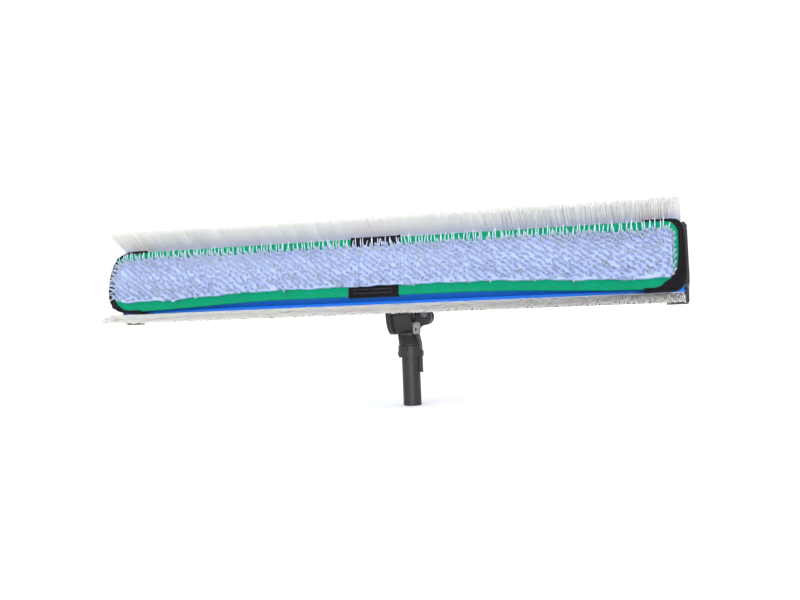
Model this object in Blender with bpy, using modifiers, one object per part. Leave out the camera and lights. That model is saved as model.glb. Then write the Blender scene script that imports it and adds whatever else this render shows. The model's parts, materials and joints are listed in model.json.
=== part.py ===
"""A solar panel cleaning brush: an extruded body with a microfibre pad and two splayed bristle rows, on a
tilting spigot that a pole slides over.

The object's own frame has its origin at the middle of the spigot's free end, +Z up along the spigot and X
along the brush. The head is modelled face up in a frame of its own, with its origin at the middle of the
pad backing's face: X along the brush, Y to the far side and Z out of the pad. An empty on the tilt axis
carries it.
"""

import random
from math import acos, atan2, cos, pi, radians, sin

import bmesh
import bpy
from mathutils import Matrix, Vector

MM = 0.001
GAP = 0.3 * MM  # between pieces that touch
MERGE = 0.00001
SEED = 7

# Spigot that the pole slides over
SPIGOT_RADIUS = 12.5 * MM
SPIGOT_BORE = 10.3 * MM
SPIGOT_REACH = 66.5 * MM  # from its free end to the collar
KEY_LENGTH = 21 * MM
KEY_HEIGHT = 4.2 * MM
KEY_WIDTH = 5 * MM
PLUG_FLANGE = 1.5 * MM
PLUG_DEPTH = 8 * MM

# Knuckle: the lower half of the tilt joint
BARREL_RADIUS = 27 * MM
BARREL_LEFT = -17 * MM
BARREL_RIGHT = 9 * MM
BARREL_CHAMFER = 1.2 * MM
COLLAR_RADIUS = 16.7 * MM
COLLAR_HEIGHT = 16.8 * MM
NECK_REACH = 41.5 * MM  # from the collar's top to the tilt axis
AXIS_HEIGHT = SPIGOT_REACH + COLLAR_HEIGHT + NECK_REACH
SOCKET_DEPTH = 10 * MM
NECK_HALF_DEPTH = 10 * MM
NECK_SQUARENESS = 0.45
NOTCH_WIDTH = 4 * MM
NOTCH_HEIGHT = 9 * MM
NOTCH_DEPTH = 1.6 * MM
BOSS_HALF_WIDTH = 5 * MM
BOSS_HEIGHT = 9 * MM
BOSS_PROUD = 0.7 * MM
RECESS_STEP_DROP = 3 * MM
RECESS_STEP_IN = 2 * MM
RIVET_RADIUS = 2 * MM
RIVET_HEAD = 3.6 * MM
RIVET_HEAD_HEIGHT = 1.2 * MM
RIVET_FLAT = 0.7  # of the head's radius
RIVET_CROWN = 0.8  # of the head's height

# Pivot bolt, cam lever and thrust plate
BOLT_RADIUS = 3 * MM
BOLT_HEAD_RADIUS = 6.5 * MM
BOLT_HEAD_HEIGHT = 3.4 * MM
BOLT_EYE_RADIUS = 5.6 * MM
BOLT_EYE_HALF = 3 * MM
THRUST_PLATE = 1.7 * MM
THRUST_RADIUS = 13 * MM
TAB_FRONT = 17.5 * MM
TAB_LENGTH = 8.5 * MM
TAB_TOP = 11 * MM
TAB_BOTTOM = 26 * MM
TAB_HOLE = 1.6 * MM
TAB_CORNER = 1.5 * MM
CAM_RADIUS = 11.2 * MM
CAM_HALF_WIDTH = 9.5 * MM
CAM_SIDE_OFFSET = 1.2 * MM
CAM_DROP = 4 * MM
CAM_RIM_OUTER = 7 * MM
CAM_RIM_INNER = 5.8 * MM
CAM_RIM_HEIGHT = 0.8 * MM
PIN_RADIUS = 3 * MM
PIN_HEAD_RADIUS = 5 * MM
PIN_HEAD_HEIGHT = 1.4 * MM
PIN_HEAD_FLAT = 4 * MM
HANDLE_HALF_WIDTH = 6 * MM
HANDLE_THICK = 3.2 * MM
HANDLE_LAP = 6 * MM  # of the handle's tip below the collar's top
HANDLE_TIP = NECK_REACH + HANDLE_LAP  # below the tilt axis
HANDLE_WAIST = 23.5 * MM  # below the tilt axis, where the handle passes the barrel
HANDLE_SWEEP = 3.3 * MM  # outwards, from the waist to the tip
HANDLE_SWEEP_SHARES = (0.36, 0.85, 1)  # of that, at each third of the way
HANDLE_ROOT = ((0.2, 0.75), (0.72, 1.12))  # left of and below the cam's centre, in cam radii
HANDLE_FLARE = 0.5  # how much thicker the handle is at its root
HANDLE_FLARE_RUN = 0.4  # of its length

# Head: where the tilt axis lies behind the pad, and how the head stands at rest
JOINT_OFFSET = 25 * MM  # of the spigot from the middle of the brush
TILT_AXIS_NEAR = 44 * MM  # from the pad's centre line towards the near side
TILT_AXIS_BACK = 87 * MM  # behind the pad backing's face
LEAN = radians(15)  # of the pad's back away from the spigot

# Body extrusion
BODY_HALF = 389 * MM
BASE_HALF = 50 * MM
RISER_INSET = 13 * MM
RISER_HALF = BASE_HALF - RISER_INSET
RISER_TOP = -7 * MM
RISER_WALL = 1.6 * MM
RISER_CORNER = 1.5 * MM
TOP_WALL = 1.8 * MM
BASE_BACK = -54 * MM
BASE_WALL = 2 * MM
BASE_TOE = 8 * MM
WEB_HALF = 1 * MM
PORT_BOSS = 3.2 * MM
PORT_BORE = 1.7 * MM
PORT_INSET = 3 * MM
PORT_LOW_INSET = 21.5 * MM
PORT_LOW_ACROSS = BASE_HALF - PORT_LOW_INSET

# Bristle channels at the foot of the riser
SPLAY = radians(24)
ROOT_OUT = 5 * MM
ROOT_ACROSS = RISER_HALF + ROOT_OUT
ROOT_LEVEL = -40 * MM
SLOT_HALF = 3.4 * MM
SLOT_DEPTH = 9 * MM
MOUTH_HALF = 2 * MM
MOUTH_LIP = 1.5 * MM
SLOT_WALL = 1.5 * MM
STRIP_WALL = 0.7 * MM
BACKING_TOP = 3.2 * MM
BRISTLE_LENGTH = 57 * MM
BRISTLE_END_INSET = 1.5 * MM
BRISTLE_HALF_RUN = BODY_HALF - BRISTLE_END_INSET
BRISTLE_RADIUS = 0.95 * MM
BRISTLE_TIP_RADIUS = 0.6 * MM
BRISTLE_COUNT = 200
BRISTLE_ROW_OFFSET = 0.8 * MM
BRISTLE_SWAY = 1.2 * MM
BRISTLE_UNEVEN = 1.5 * MM
BRISTLE_SINK = 1 * MM
BRISTLE_SIDES = 3

# End caps
CAP_PLATE = 4.7 * MM
CAP_PROUD = 1.5 * MM
CAP_BASE_PROUD = 2.5 * MM
CAP_SLEEVE = 22 * MM
CAP_SLEEVE_RISE = 9 * MM
CAP_CORNER = 3.5 * MM
CAP_EDGE = 3 * MM
CAP_STEP_SLOPE = 0.45
CAP_PLUG_INNER = 3 * MM
CAP_PLUG_DEPTH = 8 * MM
CAP_PLUG_WIDTH = 22 * MM
CAP_PLUG_HEIGHT = 24 * MM
CAP_SCREW_HEAD = 3.2 * MM
CAP_SCREW_HEAD_HEIGHT = 1.8 * MM
CAP_SCREW_SHANK = 1.4 * MM
CAP_SCREW_LENGTH = 14 * MM

# Wash pad, a little shorter than the body
PAD_INSET = 3 * MM
PAD_HALF_LENGTH = BODY_HALF - PAD_INSET
PAD_OVERHANG = 4 * MM
PAD_HALF_WIDTH = RISER_HALF + PAD_OVERHANG
PAD_THICK = 5 * MM
PAD_CORNER = 21 * MM
PILE_SIDE_INSET = 12.5 * MM
PILE_HALF_WIDTH = PAD_HALF_WIDTH - PILE_SIDE_INSET
PILE_HEIGHT = 13.7 * MM
PILE_LEFT_INSET = 15 * MM
PILE_RIGHT_INSET = 11 * MM
PILE_LEFT_END = PILE_LEFT_INSET - PAD_HALF_LENGTH
PILE_RIGHT_END = PAD_HALF_LENGTH - PILE_RIGHT_INSET
PILE_ROUND = 7 * MM
PILE_CORNER = 15 * MM
PILE_CROWN = 1.2 * MM
SEAM_LEFT = -18 * MM
SEAM_RIGHT = 43 * MM
FABRIC = 1.2 * MM
BAND_HALF = 34 * MM
HOOK_INSET = 4 * MM
HOOK_SIDE_INSET = 7 * MM
HOOK_HALF_WIDTH = RISER_HALF - HOOK_SIDE_INSET
LABEL_HALF_LENGTH = 27 * MM
LABEL_WIDTH = 8 * MM
LABEL_THICK = 0.8 * MM
LABEL_INSET = 1.5 * MM
LABEL_CORNER = 1 * MM
POCKET_LENGTH = 45 * MM
POCKET_START = PAD_HALF_LENGTH - POCKET_LENGTH
POCKET_SKIRT = 22 * MM
POCKET_FAR_RADIUS = 17.5 * MM
POCKET_NEAR_RADIUS = 44 * MM
POCKET_END_RIM = 4.5 * MM
POCKET_FAR_RIM = 1.5 * MM
POCKET_NEAR_SHIFT = 1.8 * MM
POCKET_END_SKIRT = 5.8 * MM

# Bracket: the upper half of the tilt joint
DISC_THICK = 7 * MM
ARM_STEPS = 26
FRICTION_DISC = 1.4 * MM
FRICTION_RADIUS = 26.2 * MM
BRACKET_PLATE = 4.5 * MM
BRACKET_LEFT = -22 * MM
BRACKET_RIGHT = 54 * MM
BRACKET_NEAR_INSET = 4 * MM
BRACKET_NEAR = BRACKET_NEAR_INSET - BASE_HALF
BRACKET_FAR = 24 * MM
BRACKET_CORNER = 8 * MM
ARM_FOOT_FAR = 15 * MM
GUSSET_THICK = 4 * MM
GUSSET_RUN = 17 * MM
GUSSET_DROP = 11 * MM
GUSSET_NEAR = -32 * MM
GUSSET_FAR = 3 * MM
BRACKET_SCREW_INSET = 8 * MM
BRACKET_SCREW_NEAR_GAP = 8.5 * MM
BRACKET_SCREW_FAR_GAP = 12.5 * MM
BRACKET_SCREW_NEAR = BRACKET_SCREW_NEAR_GAP - PORT_LOW_ACROSS
BRACKET_SCREW_FAR = PORT_LOW_ACROSS - BRACKET_SCREW_FAR_GAP
BRACKET_SCREW_SHANK = 2.1 * MM
BRACKET_SCREW_HEAD = 4 * MM
BRACKET_SCREW_HEAD_HEIGHT = 2.4 * MM
BRACKET_SCREW_LENGTH = 11 * MM

HEAD_CROWN = ((0.6, 0.92), (0.93, 0.55))  # of a screw head's radius and height

FULL_SIDES = 32
SMALL_SIDES = 16
SCREW_SIDES = 10

# Empties that carry the three moving parts
CARRIERS = {}


def clear_scene():
    for item in list(bpy.data.objects):
        bpy.data.objects.remove(item, do_unlink=True)


def make_collection(name):
    group = bpy.data.collections.new(name)
    bpy.context.scene.collection.children.link(group)
    return group


clear_scene()
PARTS = make_collection("solar_panel_brush")
CUTTERS = make_collection("cutters")


def make_material(name, colour, roughness, metallic=0.0):
    material = bpy.data.materials.new(name)
    material.use_nodes = True
    shader = material.node_tree.nodes["Principled BSDF"]
    shader.inputs["Base Color"].default_value = (*colour, 1)
    shader.inputs["Roughness"].default_value = roughness
    shader.inputs["Metallic"].default_value = metallic
    return material


BLUE_COAT = make_material("blue_coated_aluminium", (0.015, 0.16, 0.72), 0.4, 0.3)
BLACK_NYLON = make_material("black_nylon", (0.035, 0.035, 0.038), 0.5)
BLACK_FABRIC = make_material("black_elastic_fabric", (0.022, 0.018, 0.022), 0.85)
GREEN_FABRIC = make_material("green_woven_fabric", (0.01, 0.38, 0.16), 0.8)
PALE_PILE = make_material("pale_blue_microfibre", (0.5, 0.6, 0.88), 0.9)
PALE_BRISTLE = make_material("pale_nylon_bristle", (0.7, 0.7, 0.67), 0.55)
BRIGHT_STEEL = make_material("zinc_plated_steel", (0.6, 0.6, 0.6), 0.3, 1.0)
FRICTION_FIBRE = make_material("friction_fibre", (0.12, 0.09, 0.06), 0.9)


def make_carrier(name, location, turn=0.0):
    """An empty on a joint's axis, turned about X."""
    carrier = bpy.data.objects.new(name, None)
    carrier.empty_display_size = 0.02
    carrier.location = location
    carrier.rotation_euler = (turn, 0, 0)
    PARTS.objects.link(carrier)
    return carrier


def place(item, carrier, offset):
    item.parent = CARRIERS[carrier]
    item.location = offset


def on_head(item):
    """Head pieces are drawn from the pad's centre, and the carrier stands on the tilt axis."""
    place(item, "head", (0, TILT_AXIS_NEAR, TILT_AXIS_BACK))
    return item


def on_joint(item):
    """Joint pieces are drawn from the tilt axis above the spigot."""
    place(item, "joint", (0, 0, 0))
    return item


def on_lever(item):
    """Lever pieces are drawn from the tilt axis, and the carrier stands on the cam pin."""
    place(item, "lever", (-pin_x(), 0, 0))
    return item


def make_object(name, mesh, material=None, group=None):
    item = bpy.data.objects.new(name, mesh)
    (group or PARTS).objects.link(item)
    if material:
        mesh.materials.append(material)
        mesh.shade_smooth()
        mesh.set_sharp_from_angle(angle=radians(35))
    else:
        item.hide_render = True
        item.display_type = "WIRE"
    return item


def mesh_from(build):
    """A mesh made by one function that fills a bmesh."""
    work = bmesh.new()
    build(work)
    bmesh.ops.recalc_face_normals(work, faces=work.faces)
    mesh = bpy.data.meshes.new("mesh")
    work.to_mesh(mesh)
    work.free()
    return mesh


ALONG = {
    "X": Matrix(((0, 0, 1, 0), (1, 0, 0, 0), (0, 1, 0, 0), (0, 0, 0, 1))),
    "Y": Matrix(((1, 0, 0, 0), (0, 0, -1, 0), (0, 1, 0, 0), (0, 0, 0, 1))),
    "Z": Matrix.Identity(4),
}


def extruded(outlines, low, high, along="X"):
    """A solid drawn as flat outlines, the first its edge and the others its holes.

    Along X the outline is drawn in Y and Z, along Y in X and Z, and along Z in X and Y.
    """
    curve = bpy.data.curves.new("outline", "CURVE")
    curve.dimensions = "2D"
    curve.fill_mode = "BOTH"
    curve.extrude = (high - low) / 2
    for outline in outlines:
        spline = curve.splines.new("POLY")
        spline.points.add(len(outline) - 1)
        for point, (across, up) in zip(spline.points, outline):
            point.co = (across, up, 0, 1)
        spline.use_cyclic_u = True
    holder = bpy.data.objects.new("outline", curve)
    CUTTERS.objects.link(holder)
    view = bpy.context.evaluated_depsgraph_get()
    mesh = bpy.data.meshes.new_from_object(holder.evaluated_get(view))
    bpy.data.objects.remove(holder, do_unlink=True)
    work = bmesh.new()
    work.from_mesh(mesh)
    bmesh.ops.remove_doubles(work, verts=work.verts, dist=MERGE)
    bmesh.ops.recalc_face_normals(work, faces=work.faces)
    work.to_mesh(mesh)
    work.free()
    middle = (low + high) / 2
    shift = {"X": (middle, 0, 0), "Y": (0, middle, 0), "Z": (0, 0, middle)}[along]
    mesh.transform(Matrix.Translation(shift) @ ALONG[along])
    return mesh


AXES = {"X": Matrix.Rotation(pi / 2, 4, "Y"), "Y": Matrix.Rotation(-pi / 2, 4, "X"), "Z": Matrix.Identity(4)}


def rod(radius, low, high, along="X", centre=(0, 0), sides=SMALL_SIDES):
    """A cylinder between two places on its axis. centre is its place in the other two directions."""

    def build(work):
        bmesh.ops.create_cone(
            work, cap_ends=True, segments=sides, radius1=radius, radius2=radius, depth=high - low
        )

    mesh = mesh_from(build)
    middle = (low + high) / 2
    spot = {
        "X": (middle, centre[0], centre[1]),
        "Y": (centre[0], middle, centre[1]),
        "Z": (centre[0], centre[1], middle),
    }[along]
    mesh.transform(Matrix.Translation(spot) @ AXES[along])
    return mesh


def box(low, high):
    size = Vector(high) - Vector(low)

    def build(work):
        bmesh.ops.create_cube(work, size=1)
        bmesh.ops.scale(work, vec=size, verts=work.verts)

    mesh = mesh_from(build)
    mesh.transform(Matrix.Translation((Vector(low) + Vector(high)) / 2))
    return mesh


def turned(profile, sides=SMALL_SIDES):
    """A closed turned mesh about Z, from a profile of (radius, height) that runs top to bottom."""
    mesh = bpy.data.meshes.new("profile")
    points = [(radius, 0, height) for radius, height in profile]
    mesh.from_pydata(points, [(i, i + 1) for i in range(len(points) - 1)], [])
    holder = bpy.data.objects.new("profile", mesh)
    CUTTERS.objects.link(holder)
    screw = holder.modifiers.new("Turn", "SCREW")
    screw.steps = sides
    screw.render_steps = sides
    screw.use_merge_vertices = True
    screw.merge_threshold = MERGE
    view = bpy.context.evaluated_depsgraph_get()
    result = bpy.data.meshes.new_from_object(holder.evaluated_get(view))
    bpy.data.objects.remove(holder, do_unlink=True)
    return result


def moved(mesh, along="Z", spot=(0, 0, 0)):
    mesh.transform(Matrix.Translation(spot) @ AXES[along])
    return mesh


def loft(sections):
    """A closed solid through rings with the same number of points."""

    def build(work):
        rings = [[work.verts.new(point) for point in section] for section in sections]
        for low, high in zip(rings, rings[1:]):
            for i in range(len(low)):
                j = (i + 1) % len(low)
                work.faces.new((low[i], low[j], high[j], high[i]))
        work.faces.new(rings[0])
        work.faces.new(rings[-1])

    return mesh_from(build)


def boolean(item, mesh, how, carry):
    """Cuts a mesh out of an item, or joins it on, in the item's own frame."""
    tool = carry(make_object(item.name + "_" + how.lower(), mesh, None, CUTTERS))
    step = item.modifiers.new(how.title(), "BOOLEAN")
    step.operation = how
    step.object = tool
    step.solver = "EXACT"


def cut(item, mesh, carry):
    boolean(item, mesh, "DIFFERENCE", carry)


def join(item, mesh, carry):
    boolean(item, mesh, "UNION", carry)


def round_edges(item, width, segments, keep):
    """Bevels the edges that keep() picks by the middle and the direction of each."""
    work = bmesh.new()
    work.from_mesh(item.data)
    edges = []
    for edge in work.edges:
        one, two = edge.verts[0].co, edge.verts[1].co
        sharp = len(edge.link_faces) == 2 and edge.calc_face_angle(0) > radians(30)
        if sharp and keep((one + two) / 2, two - one):
            edges.append(edge)
    bmesh.ops.bevel(work, geom=edges, offset=width, segments=segments, profile=0.5, affect="EDGES")
    work.to_mesh(item.data)
    work.free()


def arc(centre, radius, start, end, steps):
    """Points on an arc, in degrees, both ends included."""
    return [
        (
            centre[0] + radius * cos(radians(start + (end - start) * i / steps)),
            centre[1] + radius * sin(radians(start + (end - start) * i / steps)),
        )
        for i in range(steps + 1)
    ]


def circle(centre, radius, sides):
    return arc(centre, radius, 0, 360 - 360 / sides, sides - 1)


def rounded_rectangle(left, low, right, high, radius, steps=5):
    return (
        arc((right - radius, high - radius), radius, 90, 0, steps)
        + arc((right - radius, low + radius), radius, 0, -90, steps)
        + arc((left + radius, low + radius), radius, 270, 180, steps)
        + arc((left + radius, high - radius), radius, 180, 90, steps)
    )


def smooth(points, steps):
    """A Catmull-Rom curve through the points."""
    ends = [points[0], *points, points[-1]]
    result = []
    for a, b, c, d in zip(ends, ends[1:], ends[2:], ends[3:]):
        for i in range(steps):
            t = i / steps
            result.append(
                tuple(
                    0.5
                    * (
                        2 * b[k]
                        + (c[k] - a[k]) * t
                        + (2 * a[k] - 5 * b[k] + 4 * c[k] - d[k]) * t * t
                        + (3 * b[k] - a[k] - 3 * c[k] + d[k]) * t**3
                    )
                    for k in (0, 1)
                )
            )
    return [*result, points[-1]]


def mirrored(outline):
    """The half outline at +X, run down, closed by its mirror image run up."""
    return outline + [(-across, up) for across, up in reversed(outline)]


# Places along the hinge, from the tilt axis above the spigot
def disc_right():
    return BARREL_LEFT - 2 * GAP - FRICTION_DISC


def disc_left():
    return disc_right() - DISC_THICK


def plate_right():
    return BARREL_RIGHT + GAP + THRUST_PLATE


def cam_centre():
    return plate_right() + GAP + CAM_RADIUS, -CAM_DROP


def pin_x():
    return cam_centre()[0] + CAM_SIDE_OFFSET


def collar_bottom():
    return SPIGOT_REACH - AXIS_HEIGHT


def collar_top():
    return collar_bottom() + COLLAR_HEIGHT


def rivet_level():
    return collar_bottom() + SOCKET_DEPTH / 2


# The body's section, in the head's Y and Z


def slot_point(across, up, side=1):
    """A point in the bristle channel: across its mouth, and up out of it along the splay."""
    return (
        side * (ROOT_ACROSS + across * cos(SPLAY) + up * sin(SPLAY)),
        ROOT_LEVEL - across * sin(SPLAY) + up * cos(SPLAY),
    )


def body_outline():
    """The extrusion's outer edge, with the two undercut bristle channels open to the outside."""
    lip = SLOT_HALF + SLOT_WALL
    half = arc((RISER_HALF - RISER_CORNER, RISER_TOP - RISER_CORNER), RISER_CORNER, 90, 0, 3)
    half.append((RISER_HALF, slot_point(-lip, 0)[1]))
    half += [
        slot_point(-MOUTH_HALF, 0),
        slot_point(-MOUTH_HALF, -MOUTH_LIP),
        slot_point(-SLOT_HALF, -MOUTH_LIP),
        slot_point(-SLOT_HALF, -SLOT_DEPTH),
        slot_point(SLOT_HALF, -SLOT_DEPTH),
        slot_point(SLOT_HALF, -MOUTH_LIP),
        slot_point(MOUTH_HALF, -MOUTH_LIP),
        slot_point(MOUTH_HALF, 0),
        slot_point(lip, 0),
        (BASE_HALF, BASE_BACK + BASE_TOE),
    ]
    half += arc((BASE_HALF - RISER_CORNER, BASE_BACK + RISER_CORNER), RISER_CORNER, 0, -90, 3)
    return mirrored(half)


def cavity_outline(side):
    """One of the two hollows beside the middle web. It leans in past the back of the bristle channel."""
    wall = SLOT_HALF + SLOT_WALL
    inner = RISER_HALF - RISER_WALL
    floor = BASE_BACK + BASE_WALL
    shoulder = (inner - slot_point(-wall, 0)[0]) / sin(SPLAY)
    foot = slot_point(-wall, -SLOT_DEPTH - SLOT_WALL)
    corners = [
        (WEB_HALF, RISER_TOP - TOP_WALL),
        (inner, RISER_TOP - TOP_WALL),
        slot_point(-wall, shoulder),
        foot,
        (foot[0], floor),
        (WEB_HALF, floor),
    ]
    return [(side * across, up) for across, up in corners]


def port_places():
    """The four screw ports, seen from the end."""
    high = RISER_TOP - TOP_WALL - PORT_INSET
    low = BASE_BACK + BASE_WALL + PORT_INSET
    across = RISER_HALF - RISER_WALL - PORT_INSET
    return [(across, high), (-across, high), (PORT_LOW_ACROSS, low), (-PORT_LOW_ACROSS, low)]


def bracket_screw_places():
    return [
        (x, y)
        for x in (BRACKET_LEFT + BRACKET_SCREW_INSET, BRACKET_RIGHT - BRACKET_SCREW_INSET)
        for y in (BRACKET_SCREW_NEAR, BRACKET_SCREW_FAR)
    ]


def make_body():
    outlines = [body_outline(), cavity_outline(1), cavity_outline(-1)]
    body = on_head(make_object("brush_block", extruded(outlines, -BODY_HALF, BODY_HALF), BLUE_COAT))
    for place_across in port_places():
        boss = rod(PORT_BOSS, 2 * GAP - BODY_HALF, BODY_HALF - 2 * GAP, "X", place_across, 12)
        join(body, boss, on_head)
    for place_across in port_places():
        reach = BODY_HALF + GAP
        cut(body, rod(PORT_BORE, -reach, reach, "X", place_across, SCREW_SIDES), on_head)
    for x, y in bracket_screw_places():
        hole = rod(
            BRACKET_SCREW_SHANK + GAP, BASE_BACK - GAP, BASE_BACK + BASE_WALL + GAP, "Z", (x, y), SCREW_SIDES
        )
        cut(body, hole, on_head)


def cap_outline():
    """The body's outline simplified, and a little proud of it."""
    riser = RISER_HALF + CAP_PROUD
    base = BASE_HALF + CAP_BASE_PROUD
    back = BASE_BACK - CAP_BASE_PROUD
    step = ROOT_LEVEL + 2 * CAP_PROUD
    half = arc((riser - CAP_CORNER, RISER_TOP - CAP_CORNER), CAP_CORNER, 90, 0, 4)
    half += [(riser, step), (base, step - (base - riser) * CAP_STEP_SLOPE)]
    half += arc((base - CAP_CORNER, back + CAP_CORNER), CAP_CORNER, 0, -90, 4)
    return mirrored(half)


def sleeve_outline():
    """The short sleeve that runs in along the base, open towards the bristles."""
    outer, inner = BASE_HALF + CAP_BASE_PROUD, BASE_HALF + GAP
    back, floor = BASE_BACK - CAP_BASE_PROUD, BASE_BACK - GAP
    top = back + CAP_SLEEVE_RISE
    half = [(inner, top), (outer, top)]
    half += arc((outer - CAP_CORNER, back + CAP_CORNER), CAP_CORNER, 0, -90, 4)
    return half + [(-a, u) for a, u in reversed(half)] + [(-inner, floor), (inner, floor)]


def between(side, start, end):
    """Two places along X, mirrored to the left end where side is -1, lowest first."""
    return sorted((side * start, side * end))


def make_end_cap(name, side):
    inner, outer = BODY_HALF + GAP, BODY_HALF + GAP + CAP_PLATE
    cap = on_head(make_object(name, extruded([cap_outline()], *between(side, inner, outer)), BLACK_NYLON))
    round_edges(cap, CAP_EDGE, 3, lambda middle, run: abs(middle.x) > outer - GAP and abs(run.x) < GAP)
    overlap = inner + CAP_PLATE / 4
    join(cap, extruded([sleeve_outline()], *between(side, BODY_HALF - CAP_SLEEVE, overlap)), on_head)
    middle = (port_places()[0][1] + port_places()[2][1]) / 2
    for across in (1, -1):
        near, far = sorted((across * CAP_PLUG_INNER, across * (CAP_PLUG_INNER + CAP_PLUG_WIDTH)))
        low, high = between(side, BODY_HALF - CAP_PLUG_DEPTH, overlap)
        plug = box((low, near, middle - CAP_PLUG_HEIGHT / 2), (high, far, middle + CAP_PLUG_HEIGHT / 2))
        join(cap, plug, on_head)
    seat = outer - CAP_SCREW_HEAD_HEIGHT - GAP
    for spot in port_places():
        hole = rod(CAP_SCREW_SHANK + GAP, *between(side, inner - GAP, outer + GAP), "X", spot, SCREW_SIDES)
        sink = rod(CAP_SCREW_HEAD + GAP, *between(side, seat, outer + GAP), "X", spot, SMALL_SIDES)
        cut(cap, hole, on_head)
        cut(cap, sink, on_head)


def screw_profile(head, head_height, shank, length):
    """A pan-head screw that points down, its head's seat at height 0."""
    crown = [(head * across, head_height * up) for across, up in HEAD_CROWN]
    return [
        (0, head_height),
        *crown,
        (head, 0),
        (shank, 0),
        (shank, shank - length),
        (0, -length),
    ]


def make_cap_screws(name, side):
    seat = BODY_HALF + GAP + CAP_PLATE - CAP_SCREW_HEAD_HEIGHT
    for i, (across, up) in enumerate(port_places()):
        height = CAP_SCREW_HEAD_HEIGHT - GAP
        profile = screw_profile(CAP_SCREW_HEAD, height, CAP_SCREW_SHANK, CAP_SCREW_LENGTH)
        mesh = turned(profile, SCREW_SIDES)
        mesh.transform(Matrix.Rotation(side * pi / 2, 4, "Y"))
        mesh.transform(Matrix.Translation((side * seat, across, up)))
        on_head(make_object(name + "_" + str(i + 1), mesh, BRIGHT_STEEL))


def make_strip(name, side):
    """A folded steel channel that holds the bristles' roots."""
    outer, inner = SLOT_HALF - GAP, SLOT_HALF - GAP - STRIP_WALL
    floor, top = GAP - SLOT_DEPTH, -MOUTH_LIP - GAP
    outline = [
        (-outer, top),
        (-outer, floor),
        (outer, floor),
        (outer, top),
        (inner, top),
        (inner, floor + STRIP_WALL),
        (-inner, floor + STRIP_WALL),
        (-inner, top),
    ]
    points = [slot_point(across, up, side) for across, up in outline]
    on_head(make_object(name, extruded([points], GAP - BODY_HALF, BODY_HALF - GAP), BRIGHT_STEEL))


def make_bristles(name, side):
    """Two staggered rows of strands on one strip of backing."""
    half = SLOT_HALF - 2 * GAP - STRIP_WALL
    floor, top = 2 * GAP - SLOT_DEPTH + STRIP_WALL, -BACKING_TOP
    corners = [(-half, floor), (half, floor), (half, top), (-half, top)]
    points = [slot_point(across, up, side) for across, up in corners]
    reach = BRISTLE_HALF_RUN + BRISTLE_RADIUS
    backing = on_head(make_object(name, extruded([points], -reach, reach), PALE_BRISTLE))
    chance = random.Random(SEED + side)
    pitch = 2 * (BRISTLE_HALF_RUN - BRISTLE_SWAY) / (BRISTLE_COUNT - 1)

    def build(work):
        for i in range(BRISTLE_COUNT):
            x = BRISTLE_SWAY - BRISTLE_HALF_RUN + pitch * i
            across = BRISTLE_ROW_OFFSET * (1 if i % 2 else -1)
            tip = BRISTLE_LENGTH - chance.uniform(0, BRISTLE_UNEVEN)
            sway = chance.uniform(-BRISTLE_SWAY, BRISTLE_SWAY)
            rings = []
            ends = ((BRISTLE_RADIUS, top - BRISTLE_SINK, 0), (BRISTLE_TIP_RADIUS, tip, sway))
            for radius, up, lean in ends:
                ring = []
                for k in range(BRISTLE_SIDES):
                    turn = 2 * pi * k / BRISTLE_SIDES
                    y, z = slot_point(across + radius * sin(turn), up, side)
                    ring.append(work.verts.new((x + lean + radius * cos(turn), y, z)))
                rings.append(ring)
            low, high = rings
            for k in range(BRISTLE_SIDES):
                j = (k + 1) % BRISTLE_SIDES
                work.faces.new((low[k], low[j], high[j], high[k]))
            work.faces.new(low)
            work.faces.new(high)

    join(backing, mesh_from(build), on_head)


def make_hook_tape(name, side):
    start, end = between(side, BAND_HALF + HOOK_INSET, PAD_HALF_LENGTH - HOOK_INSET)
    low, high = RISER_TOP + GAP, -PAD_THICK - GAP
    outline = rounded_rectangle(start, -HOOK_HALF_WIDTH, end, HOOK_HALF_WIDTH, HOOK_INSET, 3)
    on_head(make_object(name, extruded([outline], low, high, "Z"), BLACK_FABRIC))


def pad_outline(grow=0.0):
    length, width = PAD_HALF_LENGTH + grow, PAD_HALF_WIDTH + grow
    return rounded_rectangle(-length, -width, length, width, PAD_CORNER + grow, 8)


def make_backing():
    on_head(make_object("pad_backing", extruded([pad_outline()], -PAD_THICK, 0, "Z"), GREEN_FABRIC))


def make_pile(name, left, right):
    """A crowned width of pile, relieved underneath where the band passes."""
    middle, half = (left + right) / 2, (right - left) / 2

    def build(work):
        bmesh.ops.create_cube(work, size=1)
        bmesh.ops.scale(work, vec=(2 * half, 2 * PILE_HALF_WIDTH, PILE_HEIGHT), verts=work.verts)
        bmesh.ops.translate(work, vec=(middle, 0, GAP + PILE_HEIGHT / 2), verts=work.verts)
        along_width = [e for e in work.edges if abs((e.verts[0].co - e.verts[1].co).y) > GAP]
        cuts = bmesh.ops.subdivide_edges(work, edges=along_width, cuts=1, use_grid_fill=True)
        ridge = [v for v in cuts["geom_inner"] if isinstance(v, bmesh.types.BMVert)]
        for vertex in ridge:
            if vertex.co.z > PILE_HEIGHT / 2:
                vertex.co.z += PILE_CROWN

    pile = on_head(make_object(name, mesh_from(build), PALE_PILE))
    outer_ends = {PILE_LEFT_END, PILE_RIGHT_END} & {left, right}

    def is_corner(centre, run):
        return abs(run.z) > PILE_HEIGHT / 2 and any(abs(centre.x - end) < GAP for end in outer_ends)

    if outer_ends:
        round_edges(pile, PILE_CORNER, 5, is_corner)
    round_edges(pile, PILE_ROUND, 4, lambda centre, run: centre.z > PILE_HEIGHT and abs(run.z) < PILE_CROWN)
    if left < BAND_HALF and right > -BAND_HALF:
        reach = BAND_HALF + GAP
        relief = box((-reach, -PAD_HALF_WIDTH, -GAP), (reach, PAD_HALF_WIDTH, 2 * GAP + FABRIC))
        cut(pile, relief, on_head)


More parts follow.
